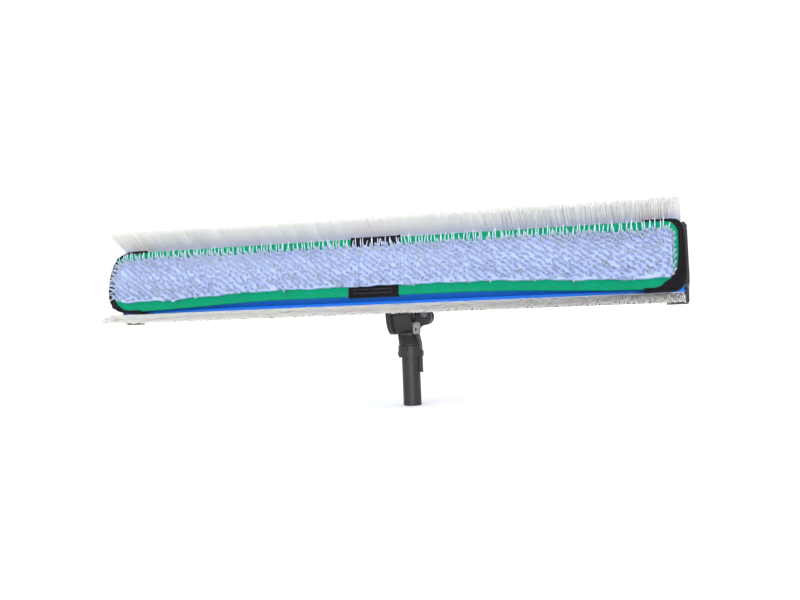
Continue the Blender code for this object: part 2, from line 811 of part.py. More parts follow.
def make_band():
    """A flat loop round the backing's middle."""
    inner_half, outer_half = PAD_HALF_WIDTH + GAP, PAD_HALF_WIDTH + GAP + FABRIC
    inner = rounded_rectangle(-inner_half, -PAD_THICK - GAP, inner_half, GAP, GAP, 2)
    outer = rounded_rectangle(
        -outer_half, -PAD_THICK - GAP - FABRIC, outer_half, GAP + FABRIC, GAP + FABRIC, 3
    )
    on_head(make_object("centre_band", extruded([outer, inner], -BAND_HALF, BAND_HALF), BLACK_FABRIC))


def make_label():
    """A bare patch on the band's near edge."""
    low = GAP + FABRIC + GAP
    near = -PAD_HALF_WIDTH + LABEL_INSET
    far, half = near + LABEL_WIDTH, LABEL_HALF_LENGTH
    outline = rounded_rectangle(-half, near, half, far, LABEL_CORNER, 3)
    on_head(make_object("label_patch", extruded([outline], low, low + LABEL_THICK, "Z"), BLACK_FABRIC))


def make_pocket(name, side):
    """A fabric cap over one end of the pad. Its front edge is a rim, wide at the near corner."""

    def flip(outline):
        return [(side * x, y) for x, y in outline]

    top = GAP + FABRIC
    inside, outside = pad_outline(GAP), pad_outline(GAP + FABRIC)
    pocket = on_head(make_object(name, extruded([outside], -POCKET_SKIRT, top, "Z"), BLACK_FABRIC))
    cut(pocket, extruded([inside], -POCKET_SKIRT - GAP, GAP, "Z"), on_head)
    rim_x = PAD_HALF_LENGTH + GAP + FABRIC - POCKET_END_RIM
    rim_y = PAD_HALF_WIDTH + GAP + FABRIC - POCKET_FAR_RIM
    start = POCKET_START - POCKET_NEAR_RADIUS
    far = arc((rim_x - POCKET_FAR_RADIUS, rim_y - POCKET_FAR_RADIUS), POCKET_FAR_RADIUS, 90, 0, 6)
    near_centre = (rim_x - POCKET_NEAR_RADIUS, -POCKET_NEAR_SHIFT)
    near = arc(near_centre, POCKET_NEAR_RADIUS, 0, -90, 9)
    opening = [(start, rim_y)] + far + near + [(start, near[-1][1])]
    cut(pocket, extruded([flip(opening)], 0, top + GAP, "Z"), on_head)
    # The skirt stops short of the end cap, and the rest of the pad is left clear
    low, high = between(side, PAD_HALF_LENGTH - PAD_CORNER, PAD_HALF_LENGTH + PAD_CORNER)
    width = PAD_HALF_WIDTH + PAD_CORNER
    cut(pocket, box((low, -width, -2 * POCKET_SKIRT), (high, width, -POCKET_END_SKIRT)), on_head)
    low, high = between(side, -PAD_HALF_LENGTH - PAD_CORNER, POCKET_START)
    cut(pocket, box((low, -width, -2 * POCKET_SKIRT), (high, width, 2 * top)), on_head)


def arm_outline():
    """The bracket's disc and the arm that joins it to the plate, tangent to the disc."""
    centre = (-TILT_AXIS_NEAR, -TILT_AXIS_BACK)
    foot_level = BASE_BACK - GAP - BRACKET_PLATE / 2

    def tangent(foot, turn):
        across, up = foot[0] - centre[0], foot[1] - centre[1]
        distance = (across**2 + up**2) ** 0.5
        return atan2(up, across) * 180 / pi + turn * acos(BARREL_RADIUS / distance) * 180 / pi

    far_foot = (ARM_FOOT_FAR, foot_level)
    near_foot = (BRACKET_NEAR + GUSSET_THICK / 2, foot_level)
    start, end = tangent(far_foot, -1), tangent(near_foot, 1) - 360
    return [near_foot, far_foot] + arc(centre, BARREL_RADIUS, start, end, ARM_STEPS)


def make_bracket():
    """The moulded bracket behind the body: a plate, one leaning arm with its disc, and two gussets."""
    high = BASE_BACK - GAP
    low = high - BRACKET_PLATE
    outline = rounded_rectangle(BRACKET_LEFT, BRACKET_NEAR, BRACKET_RIGHT, BRACKET_FAR, BRACKET_CORNER, 4)
    bracket = on_head(make_object("bracket", extruded([outline], low, high, "Z"), BLACK_NYLON))
    left, right = JOINT_OFFSET + disc_left(), JOINT_OFFSET + disc_right()
    join(bracket, extruded([arm_outline()], left, right), on_head)
    sink = BRACKET_PLATE / 2
    for across in (GUSSET_NEAR, GUSSET_FAR):
        triangle = [
            (left - GUSSET_RUN, low + sink),
            (left - GUSSET_RUN, low),
            (left, low - GUSSET_DROP),
            (left + sink, low - GUSSET_DROP),
            (left + sink, low + sink),
        ]
        mesh = extruded([triangle], across - GUSSET_THICK / 2, across + GUSSET_THICK / 2, "Y")
        join(bracket, mesh, on_head)
    centre = (-TILT_AXIS_NEAR, -TILT_AXIS_BACK)
    cut(bracket, rod(BOLT_RADIUS + GAP, left - GAP, right + GAP, "X", centre), on_head)
    recess = left + BOLT_HEAD_HEIGHT + GAP
    cut(bracket, rod(BOLT_HEAD_RADIUS + GAP, left - GAP, recess, "X", centre, FULL_SIDES), on_head)
    for spot in bracket_screw_places():
        cut(bracket, rod(BRACKET_SCREW_SHANK + GAP, low - GAP, high + GAP, "Z", spot, SCREW_SIDES), on_head)


def make_bracket_screws():
    seat = BASE_BACK - GAP - BRACKET_PLATE
    for i, (x, y) in enumerate(bracket_screw_places()):
        profile = screw_profile(
            BRACKET_SCREW_HEAD, BRACKET_SCREW_HEAD_HEIGHT, BRACKET_SCREW_SHANK, BRACKET_SCREW_LENGTH
        )
        mesh = turned(profile, SCREW_SIDES)
        mesh.transform(Matrix.Rotation(pi, 4, "X"))
        mesh.transform(Matrix.Translation((x, y, seat - GAP)))
        on_head(make_object("bracket_screw_" + str(i + 1), mesh, BRIGHT_STEEL))


def make_friction_disc():
    low, high = JOINT_OFFSET + disc_right() + GAP, JOINT_OFFSET + BARREL_LEFT - GAP
    centre = (-TILT_AXIS_NEAR, -TILT_AXIS_BACK)
    outlines = [circle(centre, FRICTION_RADIUS, FULL_SIDES), circle(centre, BOLT_RADIUS + GAP, SMALL_SIDES)]
    on_head(make_object("friction_disc", extruded(outlines, low, high), FRICTION_FIBRE))


def ring_points(half_x, half_y, height, shift, power, count=24):
    """A ring between a circle (power 1) and a rounded rectangle (power under 1)."""
    points = []
    for i in range(count):
        turn = 2 * pi * (i + 0.5) / count
        c, s = cos(turn), sin(turn)
        x = shift + half_x * abs(c) ** power * (1 if c > 0 else -1)
        y = half_y * abs(s) ** power * (1 if s > 0 else -1)
        points.append((x, y, height))
    return points


def make_knuckle():
    """The barrel, the neck that narrows to the collar, and the collar with its rivet boss."""
    chamfer = BARREL_CHAMFER
    length = BARREL_RIGHT - BARREL_LEFT
    profile = [
        (0, length),
        (BARREL_RADIUS - chamfer, length),
        (BARREL_RADIUS, length - chamfer),
        (BARREL_RADIUS, chamfer),
        (BARREL_RADIUS - chamfer, 0),
        (0, 0),
    ]
    barrel = moved(turned(profile, FULL_SIDES), "X", (BARREL_LEFT, 0, 0))
    knuckle = on_joint(make_object("knuckle", barrel, BLACK_NYLON))
    half, shift = (BARREL_RIGHT - BARREL_LEFT) / 2 - chamfer, (BARREL_RIGHT + BARREL_LEFT) / 2
    waist = COLLAR_RADIUS - chamfer
    neck = loft(
        [
            ring_points(half, NECK_HALF_DEPTH, -BARREL_RADIUS / 2, shift, NECK_SQUARENESS),
            ring_points(half, NECK_HALF_DEPTH, -BARREL_RADIUS - chamfer, shift, NECK_SQUARENESS),
            ring_points(waist, waist, collar_top() + chamfer, 0, 1),
            ring_points(waist, waist, collar_top() - chamfer, 0, 1),
        ]
    )
    join(knuckle, neck, on_joint)
    collar = [
        (0, collar_top()),
        (COLLAR_RADIUS - chamfer, collar_top()),
        (COLLAR_RADIUS, collar_top() - chamfer),
        (COLLAR_RADIUS, collar_bottom()),
        (0, collar_bottom()),
    ]
    join(knuckle, turned(collar, FULL_SIDES), on_joint)
    boss_low = collar_bottom() + GAP
    boss = box(
        (SPIGOT_RADIUS, -BOSS_HALF_WIDTH, boss_low),
        (COLLAR_RADIUS + BOSS_PROUD, BOSS_HALF_WIDTH, boss_low + BOSS_HEIGHT),
    )
    join(knuckle, boss, on_joint)
    cut(knuckle, rod(BOLT_RADIUS + GAP, BARREL_LEFT - GAP, BARREL_RIGHT + GAP), on_joint)
    socket_top = collar_bottom() + SOCKET_DEPTH
    cut(knuckle, rod(SPIGOT_RADIUS + GAP, collar_bottom() - GAP, socket_top, "Z", sides=FULL_SIDES), on_joint)
    reach = COLLAR_RADIUS + 2 * BOSS_PROUD
    cut(knuckle, rod(RIVET_RADIUS + GAP, -reach, reach, "X", (0, rivet_level()), 12), on_joint)
    # The lever's handle lies in a recess down the neck's right side
    room = HANDLE_HALF_WIDTH + 2 * GAP
    floor = -HANDLE_TIP - GAP
    waist_floor = BARREL_RIGHT + GAP / 2
    step = collar_top() - RECESS_STEP_DROP
    cut(knuckle, box((waist_floor, -room, step), (2 * reach, room, GAP - HANDLE_WAIST)), on_joint)
    cut(knuckle, box((waist_floor + RECESS_STEP_IN, -room, floor), (2 * reach, room, step + GAP)), on_joint)
    # The small notch at the front of the collar
    front = -COLLAR_RADIUS - GAP
    notch = [
        (-NOTCH_WIDTH / 2, collar_top() + GAP),
        (NOTCH_WIDTH / 2, collar_top() + GAP),
        (0, collar_top() - NOTCH_HEIGHT),
    ]
    cut(knuckle, extruded([notch], front, front + GAP + NOTCH_DEPTH, "Y"), on_joint)


def make_spigot():
    """The tube that the pole slides over, with its key rib, in the knuckle's socket."""
    bottom = PLUG_FLANGE + GAP - AXIS_HEIGHT
    top = collar_bottom() + SOCKET_DEPTH - GAP
    profile = [(SPIGOT_BORE, top), (SPIGOT_RADIUS, top), (SPIGOT_RADIUS, bottom), (SPIGOT_BORE, bottom)]
    tube = turned([*profile, profile[0]], FULL_SIDES)
    spigot = on_joint(make_object("spigot_tube", tube, BLACK_NYLON))
    key_top = collar_bottom() - GAP
    key = box(
        ((SPIGOT_RADIUS + SPIGOT_BORE) / 2, -KEY_WIDTH / 2, key_top - KEY_LENGTH),
        (SPIGOT_RADIUS + KEY_HEIGHT, KEY_WIDTH / 2, key_top),
    )
    join(spigot, key, on_joint)
    reach = SPIGOT_RADIUS + GAP
    cut(spigot, rod(RIVET_RADIUS + GAP, -reach, reach, "X", (0, rivet_level()), 12), on_joint)

    end = -AXIS_HEIGHT
    plug = [
        (0, end + PLUG_FLANGE + PLUG_DEPTH),
        (SPIGOT_BORE - 2 * GAP, end + PLUG_FLANGE + PLUG_DEPTH),
        (SPIGOT_BORE - GAP, end + PLUG_FLANGE),
        (SPIGOT_RADIUS, end + PLUG_FLANGE),
        (SPIGOT_RADIUS, end + PLUG_FLANGE / 2),
        (SPIGOT_RADIUS - PLUG_FLANGE / 2, end),
        (0, end),
    ]
    on_joint(make_object("tube_plug", turned(plug, FULL_SIDES), BLACK_NYLON))

    left, right = -COLLAR_RADIUS, COLLAR_RADIUS + BOSS_PROUD
    head = RIVET_HEAD_HEIGHT
    rivet = [
        (0, right + GAP + head),
        (RIVET_HEAD * RIVET_FLAT, right + GAP + head * RIVET_CROWN),
        (RIVET_HEAD, right + GAP),
        (RIVET_RADIUS, right + GAP),
        (RIVET_RADIUS, left - GAP),
        (RIVET_HEAD, left - GAP),
        (RIVET_HEAD * RIVET_FLAT, left - GAP - head * RIVET_CROWN),
        (0, left - GAP - head),
    ]
    on_joint(make_object("rivet", moved(turned(rivet, 12), "X", (0, 0, rivet_level())), BRIGHT_STEEL))


def make_bolt():
    """The pivot bolt: a round head in the bracket's disc, and an eye for the cam pin."""
    left = disc_left() + GAP
    shank_left = left + BOLT_HEAD_HEIGHT - GAP
    profile = [
        (0, pin_x()),
        (BOLT_RADIUS, pin_x()),
        (BOLT_RADIUS, shank_left),
        (BOLT_HEAD_RADIUS, shank_left),
        (BOLT_HEAD_RADIUS, left + BARREL_CHAMFER),
        (BOLT_HEAD_RADIUS - BARREL_CHAMFER, left),
        (0, left),
    ]
    bolt = on_joint(make_object("pivot_bolt", moved(turned(profile), "X"), BRIGHT_STEEL))
    eye = rod(BOLT_EYE_RADIUS, -BOLT_EYE_HALF, BOLT_EYE_HALF, "Y", (pin_x(), 0), 20)
    join(bolt, eye, on_joint)
    reach = BOLT_EYE_HALF + GAP
    cut(bolt, rod(PIN_RADIUS + GAP, -reach, reach, "Y", (pin_x(), 0)), on_joint)


def make_thrust_plate():
    """A steel plate between the barrel and the cam, with one corner bent out as a tab."""
    low, high = BARREL_RIGHT + GAP, plate_right()
    edge = circle((0, 0), THRUST_RADIUS, 24)
    plate = on_joint(make_object("thrust_plate", extruded([edge], low, high), BRIGHT_STEEL))
    inner = HANDLE_HALF_WIDTH + 3 * GAP
    wing = [
        (-inner, -TAB_TOP + THRUST_PLATE),
        (THRUST_PLATE / 2 - TAB_FRONT, -TAB_TOP),
        (THRUST_PLATE / 2 - TAB_FRONT, -TAB_BOTTOM),
        (THRUST_PLATE * 2 - TAB_FRONT, -TAB_BOTTOM),
        (-inner, -THRUST_RADIUS + THRUST_PLATE),
    ]
    join(plate, extruded([wing], low, high), on_joint)
    right = high + TAB_LENGTH
    tab = rounded_rectangle(low, -TAB_BOTTOM - GAP, right, GAP - TAB_TOP, TAB_CORNER, 3)
    join(plate, extruded([tab], -TAB_FRONT, THRUST_PLATE - TAB_FRONT, "Y"), on_joint)
    cut(plate, rod(BOLT_RADIUS + GAP, low - GAP, high + GAP), on_joint)
    hole_x = high + TAB_HOLE + GAP
    hole_z = -(TAB_TOP + TAB_BOTTOM) / 2 - TAB_HOLE
    hole = rod(TAB_HOLE, -TAB_FRONT - GAP, THRUST_PLATE - TAB_FRONT + GAP, "Y", (hole_x, hole_z), 12)
    cut(plate, hole, on_joint)


def handle_outline():
    """The handle's side view: from the cam's foot, in past the barrel, and down beside the neck."""
    x, z = cam_centre()
    pass_x = BARREL_RIGHT + 2 * GAP + HANDLE_THICK / 2
    middle = [(x - CAM_RADIUS * across, z - CAM_RADIUS * down) for across, down in HANDLE_ROOT]
    middle.append((pass_x, -HANDLE_WAIST))
    run = HANDLE_TIP - HANDLE_WAIST
    for i, share in enumerate(HANDLE_SWEEP_SHARES):
        down = run * (i + 1) / len(HANDLE_SWEEP_SHARES)
        middle.append((pass_x + HANDLE_SWEEP * share, -HANDLE_WAIST - down))
    line = smooth(middle, 3)
    root = len(line) * HANDLE_FLARE_RUN
    left, right = [], []
    for i, (px, pz) in enumerate(line):
        before, after = line[max(i - 1, 0)], line[min(i + 1, len(line) - 1)]
        run = Vector((after[0] - before[0], after[1] - before[1])).normalized()
        half = HANDLE_THICK / 2 * (1 + HANDLE_FLARE * max(0, 1 - i / root))
        left.append((px + run.y * half, pz - run.x * half))
        right.append((px - run.y * half, pz + run.x * half))
    return left + right[::-1]


def make_lever():
    """A forked cam on the bolt's eye, with a handle that lies along the neck."""
    x, z = cam_centre()
    cam = rod(CAM_RADIUS, -CAM_HALF_WIDTH, CAM_HALF_WIDTH, "Y", (x, z), FULL_SIDES)
    lever = on_lever(make_object("cam_lever", cam, BLACK_NYLON))
    handle = extruded([handle_outline()], -HANDLE_HALF_WIDTH, HANDLE_HALF_WIDTH, "Y")
    join(lever, handle, on_lever)
    rim = rod(CAM_RIM_OUTER, -CAM_HALF_WIDTH - CAM_RIM_HEIGHT, -CAM_HALF_WIDTH + GAP, "Y", (pin_x(), 0), 24)
    join(lever, rim, on_lever)
    slot_half = BOLT_EYE_HALF + GAP
    slot_floor = -BOLT_EYE_RADIUS - 4 * GAP
    slot = box(
        (x - 2 * CAM_RADIUS, -slot_half, slot_floor), (x + 2 * CAM_RADIUS, slot_half, 2 * CAM_RADIUS)
    )
    cut(lever, slot, on_lever)
    face = -CAM_HALF_WIDTH - CAM_RIM_HEIGHT
    dish = rod(CAM_RIM_INNER, face - GAP, -CAM_HALF_WIDTH, "Y", (pin_x(), 0), 24)
    cut(lever, dish, on_lever)
    reach = CAM_HALF_WIDTH + CAM_RIM_HEIGHT + GAP
    cut(lever, rod(PIN_RADIUS + GAP, -reach, reach, "Y", (pin_x(), 0)), on_lever)


def make_cam_pin():
    """The pin through the cam and the bolt's eye, with a flat head at each end."""
    seat = CAM_HALF_WIDTH + GAP
    end = seat + PIN_HEAD_HEIGHT
    profile = [
        (0, end),
        (PIN_HEAD_FLAT, end),
        (PIN_HEAD_RADIUS, (seat + end) / 2),
        (PIN_HEAD_RADIUS, seat),
        (PIN_RADIUS, seat),
        (PIN_RADIUS, -seat),
        (PIN_HEAD_RADIUS, -seat),
        (PIN_HEAD_RADIUS, -(seat + end) / 2),
        (PIN_HEAD_FLAT, -end),
        (0, -end),
    ]
    on_joint(make_object("cam_pin", moved(turned(profile), "Y", (pin_x(), 0, 0)), BRIGHT_STEEL))


def make_head():
    make_body()
    for end, side in (("left", -1), ("right", 1)):
        make_end_cap("end_cap_" + end, side)
        make_cap_screws("cap_screw_" + end, side)
        make_hook_tape("hook_tape_" + end, side)
        make_pocket("pocket_" + end, side)
    for row, side in (("near", -1), ("far", 1)):
        make_strip(row + "_strip", side)
        make_bristles(row + "_bristles", side)
    make_backing()
    make_pile("pile_left", PILE_LEFT_END, SEAM_LEFT - GAP / 2)
    make_pile("pile_centre", SEAM_LEFT + GAP / 2, SEAM_RIGHT - GAP / 2)
    make_pile("pile_right", SEAM_RIGHT + GAP / 2, PILE_RIGHT_END)
    make_band()
    make_label()
    make_bracket()
    make_bracket_screws()
    make_friction_disc()


def make_joint():
    make_knuckle()
    make_spigot()
    make_bolt()
    make_thrust_plate()
    make_cam_pin()
    make_lever()


def main():
    axis = Vector((0, 0, AXIS_HEIGHT))
    CARRIERS["head"] = make_carrier("head_axis", axis - Vector((JOINT_OFFSET, 0, 0)), pi / 2 - LEAN)
    CARRIERS["joint"] = make_carrier("joint_axis", axis)
    CARRIERS["lever"] = make_carrier("lever_axis", axis + Vector((pin_x(), 0, 0)))
    make_head()
    make_joint()
    bpy.context.view_layer.update()


main()
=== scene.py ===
"""Looks of a solar panel cleaning brush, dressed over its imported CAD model.

The head's soft goods are modelled in the head's own space: X along the brush, Y from the near bristle row to
the far one and Z out of the wash pad, in metres from the middle of the pad's face.
"""

import json
import logging
from dataclasses import dataclass
from enum import Enum
from math import pi, radians

import bpy
import numpy as np
from mathutils import Matrix, Vector


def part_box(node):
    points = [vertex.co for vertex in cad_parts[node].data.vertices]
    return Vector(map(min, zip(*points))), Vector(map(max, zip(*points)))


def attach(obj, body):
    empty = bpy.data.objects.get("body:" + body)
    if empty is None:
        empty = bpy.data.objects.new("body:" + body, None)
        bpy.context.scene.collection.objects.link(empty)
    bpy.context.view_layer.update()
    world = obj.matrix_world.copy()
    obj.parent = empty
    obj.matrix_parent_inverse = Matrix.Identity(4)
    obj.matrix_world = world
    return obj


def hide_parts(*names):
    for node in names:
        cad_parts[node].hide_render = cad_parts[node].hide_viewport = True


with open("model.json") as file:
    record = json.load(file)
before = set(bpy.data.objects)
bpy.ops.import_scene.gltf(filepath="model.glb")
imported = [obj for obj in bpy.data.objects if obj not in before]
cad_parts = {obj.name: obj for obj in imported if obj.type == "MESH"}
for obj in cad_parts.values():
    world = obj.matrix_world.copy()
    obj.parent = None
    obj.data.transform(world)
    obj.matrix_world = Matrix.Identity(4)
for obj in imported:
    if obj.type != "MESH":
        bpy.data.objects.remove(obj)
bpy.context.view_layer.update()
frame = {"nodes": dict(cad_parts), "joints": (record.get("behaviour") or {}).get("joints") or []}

LOG = logging.getLogger("solar_panel_brush")
MM = 0.001
SEED = 11
HEAD = "head"  # the body that every piece made here rides on
GAP = 0.3 * MM  # between pieces that touch
WAVE_TURNS = 20  # a wave texture turns this many radians per unit at scale 1
Output = bpy.types.NodeSocket  # what a shader node hands to others


class Side(Enum):
    """The two bristle rows and long edges, by the sign of Y in the head's space."""

    NEAR = -1
    FAR = 1


class End(Enum):
    """The two ends of the head, by the sign of X in the head's space."""

    LEFT = -1
    RIGHT = 1


# Finishes


def linear(colour: str) -> tuple[float, float, float, float]:
    """Turns an sRGB hex colour into linear light.

    Args:
        colour: The colour as "#RRGGBB".

    Returns:
        Red, green, blue and an alpha of 1.
    """
    channels = [int(colour[i : i + 2], 16) / 255 for i in (1, 3, 5)]
    red, green, blue = (c / 12.92 if c <= 0.04045 else ((c + 0.055) / 1.055) ** 2.4 for c in channels)
    return (red, green, blue, 1.0)


def add_node(
    material: bpy.types.Material, kind: str, inputs: dict | None = None, **settings: str
) -> bpy.types.ShaderNode:
    """Adds a shader node.

    Args:
        material: The material whose tree gets the node.
        kind: The node's type name.
        inputs: What its input sockets get, by name or number: a value, or the output of another node.
        settings: Properties of the node.

    Returns:
        The new node.
    """
    node = material.node_tree.nodes.new(kind)
    for name, value in settings.items():
        setattr(node, name, value)
    for name, value in (inputs or {}).items():
        if isinstance(value, Output):
            material.node_tree.links.new(value, node.inputs[name])
        else:
            node.inputs[name].default_value = value
    return node


@dataclass(frozen=True)
class Shading:
    """The shader nodes of one material. Each method adds a node and returns the output that others read."""

    material: bpy.types.Material

    def place(self) -> Output:
        """The place in the object's own space."""
        return add_node(self.material, "ShaderNodeTexCoord").outputs["Object"]

    def attribute(self, name: str) -> Output:
        """A number that the mesh holds for each point."""
        return add_node(self.material, "ShaderNodeAttribute", attribute_name=name).outputs["Fac"]

    def noise(self, place: Output, spacing: float, detail: float) -> Output:
        """Noise whose clouds are about one spacing apart."""
        inputs = {"Vector": place, "Scale": 1 / spacing, "Detail": detail}
        return add_node(self.material, "ShaderNodeTexNoise", inputs).outputs["Fac"]

    def math(self, operation: str, *terms: Output | float) -> Output:
        """The result of a calculation with one to three terms."""
        inputs = dict(enumerate(terms))
        return add_node(self.material, "ShaderNodeMath", inputs, operation=operation).outputs[0]

    def blend(self, share: Output, low: Output | tuple, high: Output | tuple) -> Output:
        """A colour that goes from low to high as the share goes from 0 to 1."""
        inputs = {0: share, 6: low, 7: high}  # a colour mix reads 6 and 7, and gives 2
        return add_node(self.material, "ShaderNodeMix", inputs, data_type="RGBA").outputs[2]

    def spread(self, value: Output, low: float, high: float) -> Output:
        """Turns 0 to 1 into low to high."""
        inputs = {"Value": value, "To Min": low, "To Max": high}
        return add_node(self.material, "ShaderNodeMapRange", inputs).outputs["Result"]

    def share(self, value: Output, low: float, high: float = 1.0) -> Output:
        """Turns low to high into 0 to 1, and holds it there beyond them."""
        inputs = {"Value": value, "From Min": low, "From Max": high}
        return add_node(self.material, "ShaderNodeMapRange", inputs).outputs["Result"]

    def relief(self, height: Output, strength: float, depth: float) -> Output:
        """A normal that follows small heights."""
        inputs = {"Height": height, "Strength": strength, "Distance": depth}
        return add_node(self.material, "ShaderNodeBump", inputs).outputs["Normal"]


@dataclass(frozen=True)
class Finish:
    """A surface finish, named for what it is made of and how its surface was made."""

    name: str
    colour: str
    shade: str
    roughness: float

    def tone(self, nodes: Shading, share: Output) -> Output:
        """A colour from the finish's shade to its full colour."""
        return nodes.blend(share, linear(self.shade), linear(self.colour))

    def surface(self, nodes: Shading) -> dict:
        """What the Principled shader gets.

        Args:
            nodes: The material's nodes.

        Returns:
            Values and outputs, by the names of the shader's sockets.
        """
        raise NotImplementedError

    def build(self) -> bpy.types.Material:
        """Makes the material.

        Returns:
            The material with its nodes.
        """
        material = bpy.data.materials.new(self.name)
        material.use_nodes = True
        material.node_tree.nodes.clear()
        shader = add_node(material, "ShaderNodeBsdfPrincipled", self.surface(Shading(material)))
        add_node(material, "ShaderNodeOutputMaterial", {"Surface": shader.outputs["BSDF"]})
        return material


@dataclass(frozen=True)
class CoatedAluminium(Finish):
    """Extruded aluminium with a satin coating: an even blue with faint lines along the extrusion.

    The lips outside the two channels get a deeper blue: painted shade, standing in for the shadow that lies
    on them.
    """

    # the deep blue of the painted shade on the lips
    painted_lip_shade: str
    to_head: Matrix  # from the model's space to the head's
    lip_from: float = 45 * MM  # from the body's middle to the lips
    back_level: float = -53.4 * MM  # the body's back lies just below this, and keeps its colour
    blur: float = 0.4 * MM
    line_spacing: float = 1.2 * MM
    line_squeeze: float = 0.01  # of the noise along the extrusion, which draws it out into lines
    smoother: float = 0.08
    rougher: float = 0.1

    def head_place(self, nodes: Shading, place: Output, axis: int) -> Output:
        """Reads a place along one axis of the head's space.

        Args:
            nodes: The material's nodes.
            place: The place in the model's space.
            axis: 0, 1 or 2 for X, Y or Z.

        Returns:
            The place along that axis.
        """
        *turn, move = self.to_head[axis]
        inputs = {0: place, 1: turn}
        along = add_node(nodes.material, "ShaderNodeVectorMath", inputs, operation="DOT_PRODUCT")
        return nodes.math("ADD", along.outputs["Value"], move)

    def surface(self, nodes: Shading) -> dict:
        """See Finish.surface. Die lines run along X and show in the gloss, and the lips get a deeper blue as
        painted shade.
        """
        place = nodes.place()
        inputs = {"Vector": place, "Scale": (self.line_squeeze, 1, 1)}
        drawn = add_node(nodes.material, "ShaderNodeMapping", inputs).outputs["Vector"]
        lines = nodes.noise(drawn, self.line_spacing, 3)
        across = nodes.math("ABSOLUTE", self.head_place(nodes, place, 1))
        outside = nodes.share(across, self.lip_from, self.lip_from + self.blur)
        level = self.head_place(nodes, place, 2)
        off_back = nodes.share(level, self.back_level, self.back_level + self.blur)
        # painted shade: the lips outside the channels, above the back, get the deep blue
        in_painted_shade = nodes.math("MULTIPLY", outside, off_back)
        return {
            "Base Color": nodes.blend(in_painted_shade, self.tone(nodes, lines), linear(self.painted_lip_shade)),
            "Roughness": nodes.spread(lines, self.roughness - self.smoother, self.roughness + self.rougher),
            "Normal": nodes.relief(lines, 0.3, 0.05 * MM),
            "IOR": 1.5,
            "Specular IOR Level": 0.3,
        }


@dataclass(frozen=True)
class MouldedNylon(Finish):
    """Glass-filled nylon, injection moulded: charcoal with a fine spark texture and broad dull highlights."""

    grain: float = 0.8 * MM  # the real grain is near 0.2 mm and is drawn coarser to show
    cloud: float = 18 * MM
    smoother: float = 0.07
    rougher: float = 0.12

    def surface(self, nodes: Shading) -> dict:
        """See Finish.surface. A fine grain gives relief, and broad clouds vary the tone and the gloss."""
        place = nodes.place()
        cloud = nodes.noise(place, self.cloud, 4)
        return {
            "Base Color": self.tone(nodes, cloud),
            "Roughness": nodes.spread(cloud, self.roughness - self.smoother, self.roughness + self.rougher),
            "Normal": nodes.relief(nodes.noise(place, self.grain, 2), 0.35, 0.06 * MM),
            "IOR": 1.53,
            "Specular IOR Level": 0.4,
        }


@dataclass(frozen=True)
class WovenFabric(Finish):
    """Woven or knitted polyester: crossing threads, a soft sheen and slightly uneven dyeing."""

    thread: float = 1.1 * MM  # from thread to thread; the real weave is near 0.5 mm and is drawn coarser
    depth: float = 0.25 * MM
    blotch: float = 14 * MM
    thread_tone: float = 0.35  # how much the threads vary the tone, against the blotches
    sheen: float = 0.25

    def surface(self, nodes: Shading) -> dict:
        """See Finish.surface. Two crossed waves make the threads, and noise makes the dye uneven."""
        place = nodes.place()
        scale = 2 * pi / (WAVE_TURNS * self.thread)
        wave = {"Vector": place, "Scale": scale, "Distortion": 0.6, "Detail": 1, "Detail Scale": 0.2}
        warp, weft = (
            add_node(nodes.material, "ShaderNodeTexWave", wave, bands_direction=way).outputs["Fac"]
            for way in "XY"
        )
        threads = nodes.math("MULTIPLY", warp, weft)
        blotched = nodes.math("MULTIPLY_ADD", threads, self.thread_tone, nodes.noise(place, self.blotch, 3))
        return {
            "Base Color": self.tone(nodes, blotched),
            "Normal": nodes.relief(threads, 0.6, self.depth),
            "Roughness": self.roughness,
            "IOR": 1.45,
            "Specular IOR Level": 0.15,
            "Sheen Weight": self.sheen,
            "Sheen Roughness": 0.4,
        }


@dataclass(frozen=True)
class Strand(Finish):
    """Fibres that each have their own tone, from a mesh attribute, and a painted colour near the root."""

    # painted: whiter on the filaments as painted light at a row's shaded foot, bluer and darker on the pile
    # as painted shade between the tufts
    root: str
    sheen: float = 0.0
    root_reach: float = 0.0  # how far out the root colour stays whole

    def surface(self, nodes: Shading) -> dict:
        """See Finish.surface. "shade" is a strand's own tone, and "reach" goes from 0 at its root to 1."""
        tip = self.tone(nodes, nodes.attribute("shade"))
        outer = nodes.share(nodes.attribute("reach"), self.root_reach)
        return {
            "Base Color": nodes.blend(outer, linear(self.root), tip),
            "Roughness": self.roughness,
            "IOR": 1.5,
            "Specular IOR Level": 0.3,
            "Sheen Weight": self.sheen,
        }


@dataclass(frozen=True)
class PlatedSteel(Finish):
    """Zinc-plated steel: bright, with a faint crystalline bloom in the gloss."""

    bloom: float = 2.5 * MM
    smoother: float = 0.06
    rougher: float = 0.14

    def surface(self, nodes: Shading) -> dict:
        """See Finish.surface. Small cells vary the gloss and the tone."""
        inputs = {"Vector": nodes.place(), "Scale": 1 / self.bloom}
        cells = add_node(nodes.material, "ShaderNodeTexVoronoi", inputs).outputs["Distance"]
        return {
            "Base Color": self.tone(nodes, cells),
            "Roughness": nodes.spread(cells, self.roughness - self.smoother, self.roughness + self.rougher),
            "Metallic": 1.0,
        }


@dataclass(frozen=True)
class PressedFibre(Finish):
    """Pressed friction fibre: dark brown and matt, with slightly paler flecks."""

    fleck: float = 1.5 * MM

    def surface(self, nodes: Shading) -> dict:
        """See Finish.surface. Noise scatters the flecks."""
        flecks = nodes.noise(nodes.place(), self.fleck, 5)
        return {
            "Base Color": self.tone(nodes, flecks),
            "Roughness": self.roughness,
            "Normal": nodes.relief(flecks, 0.5, 0.1 * MM),
        }


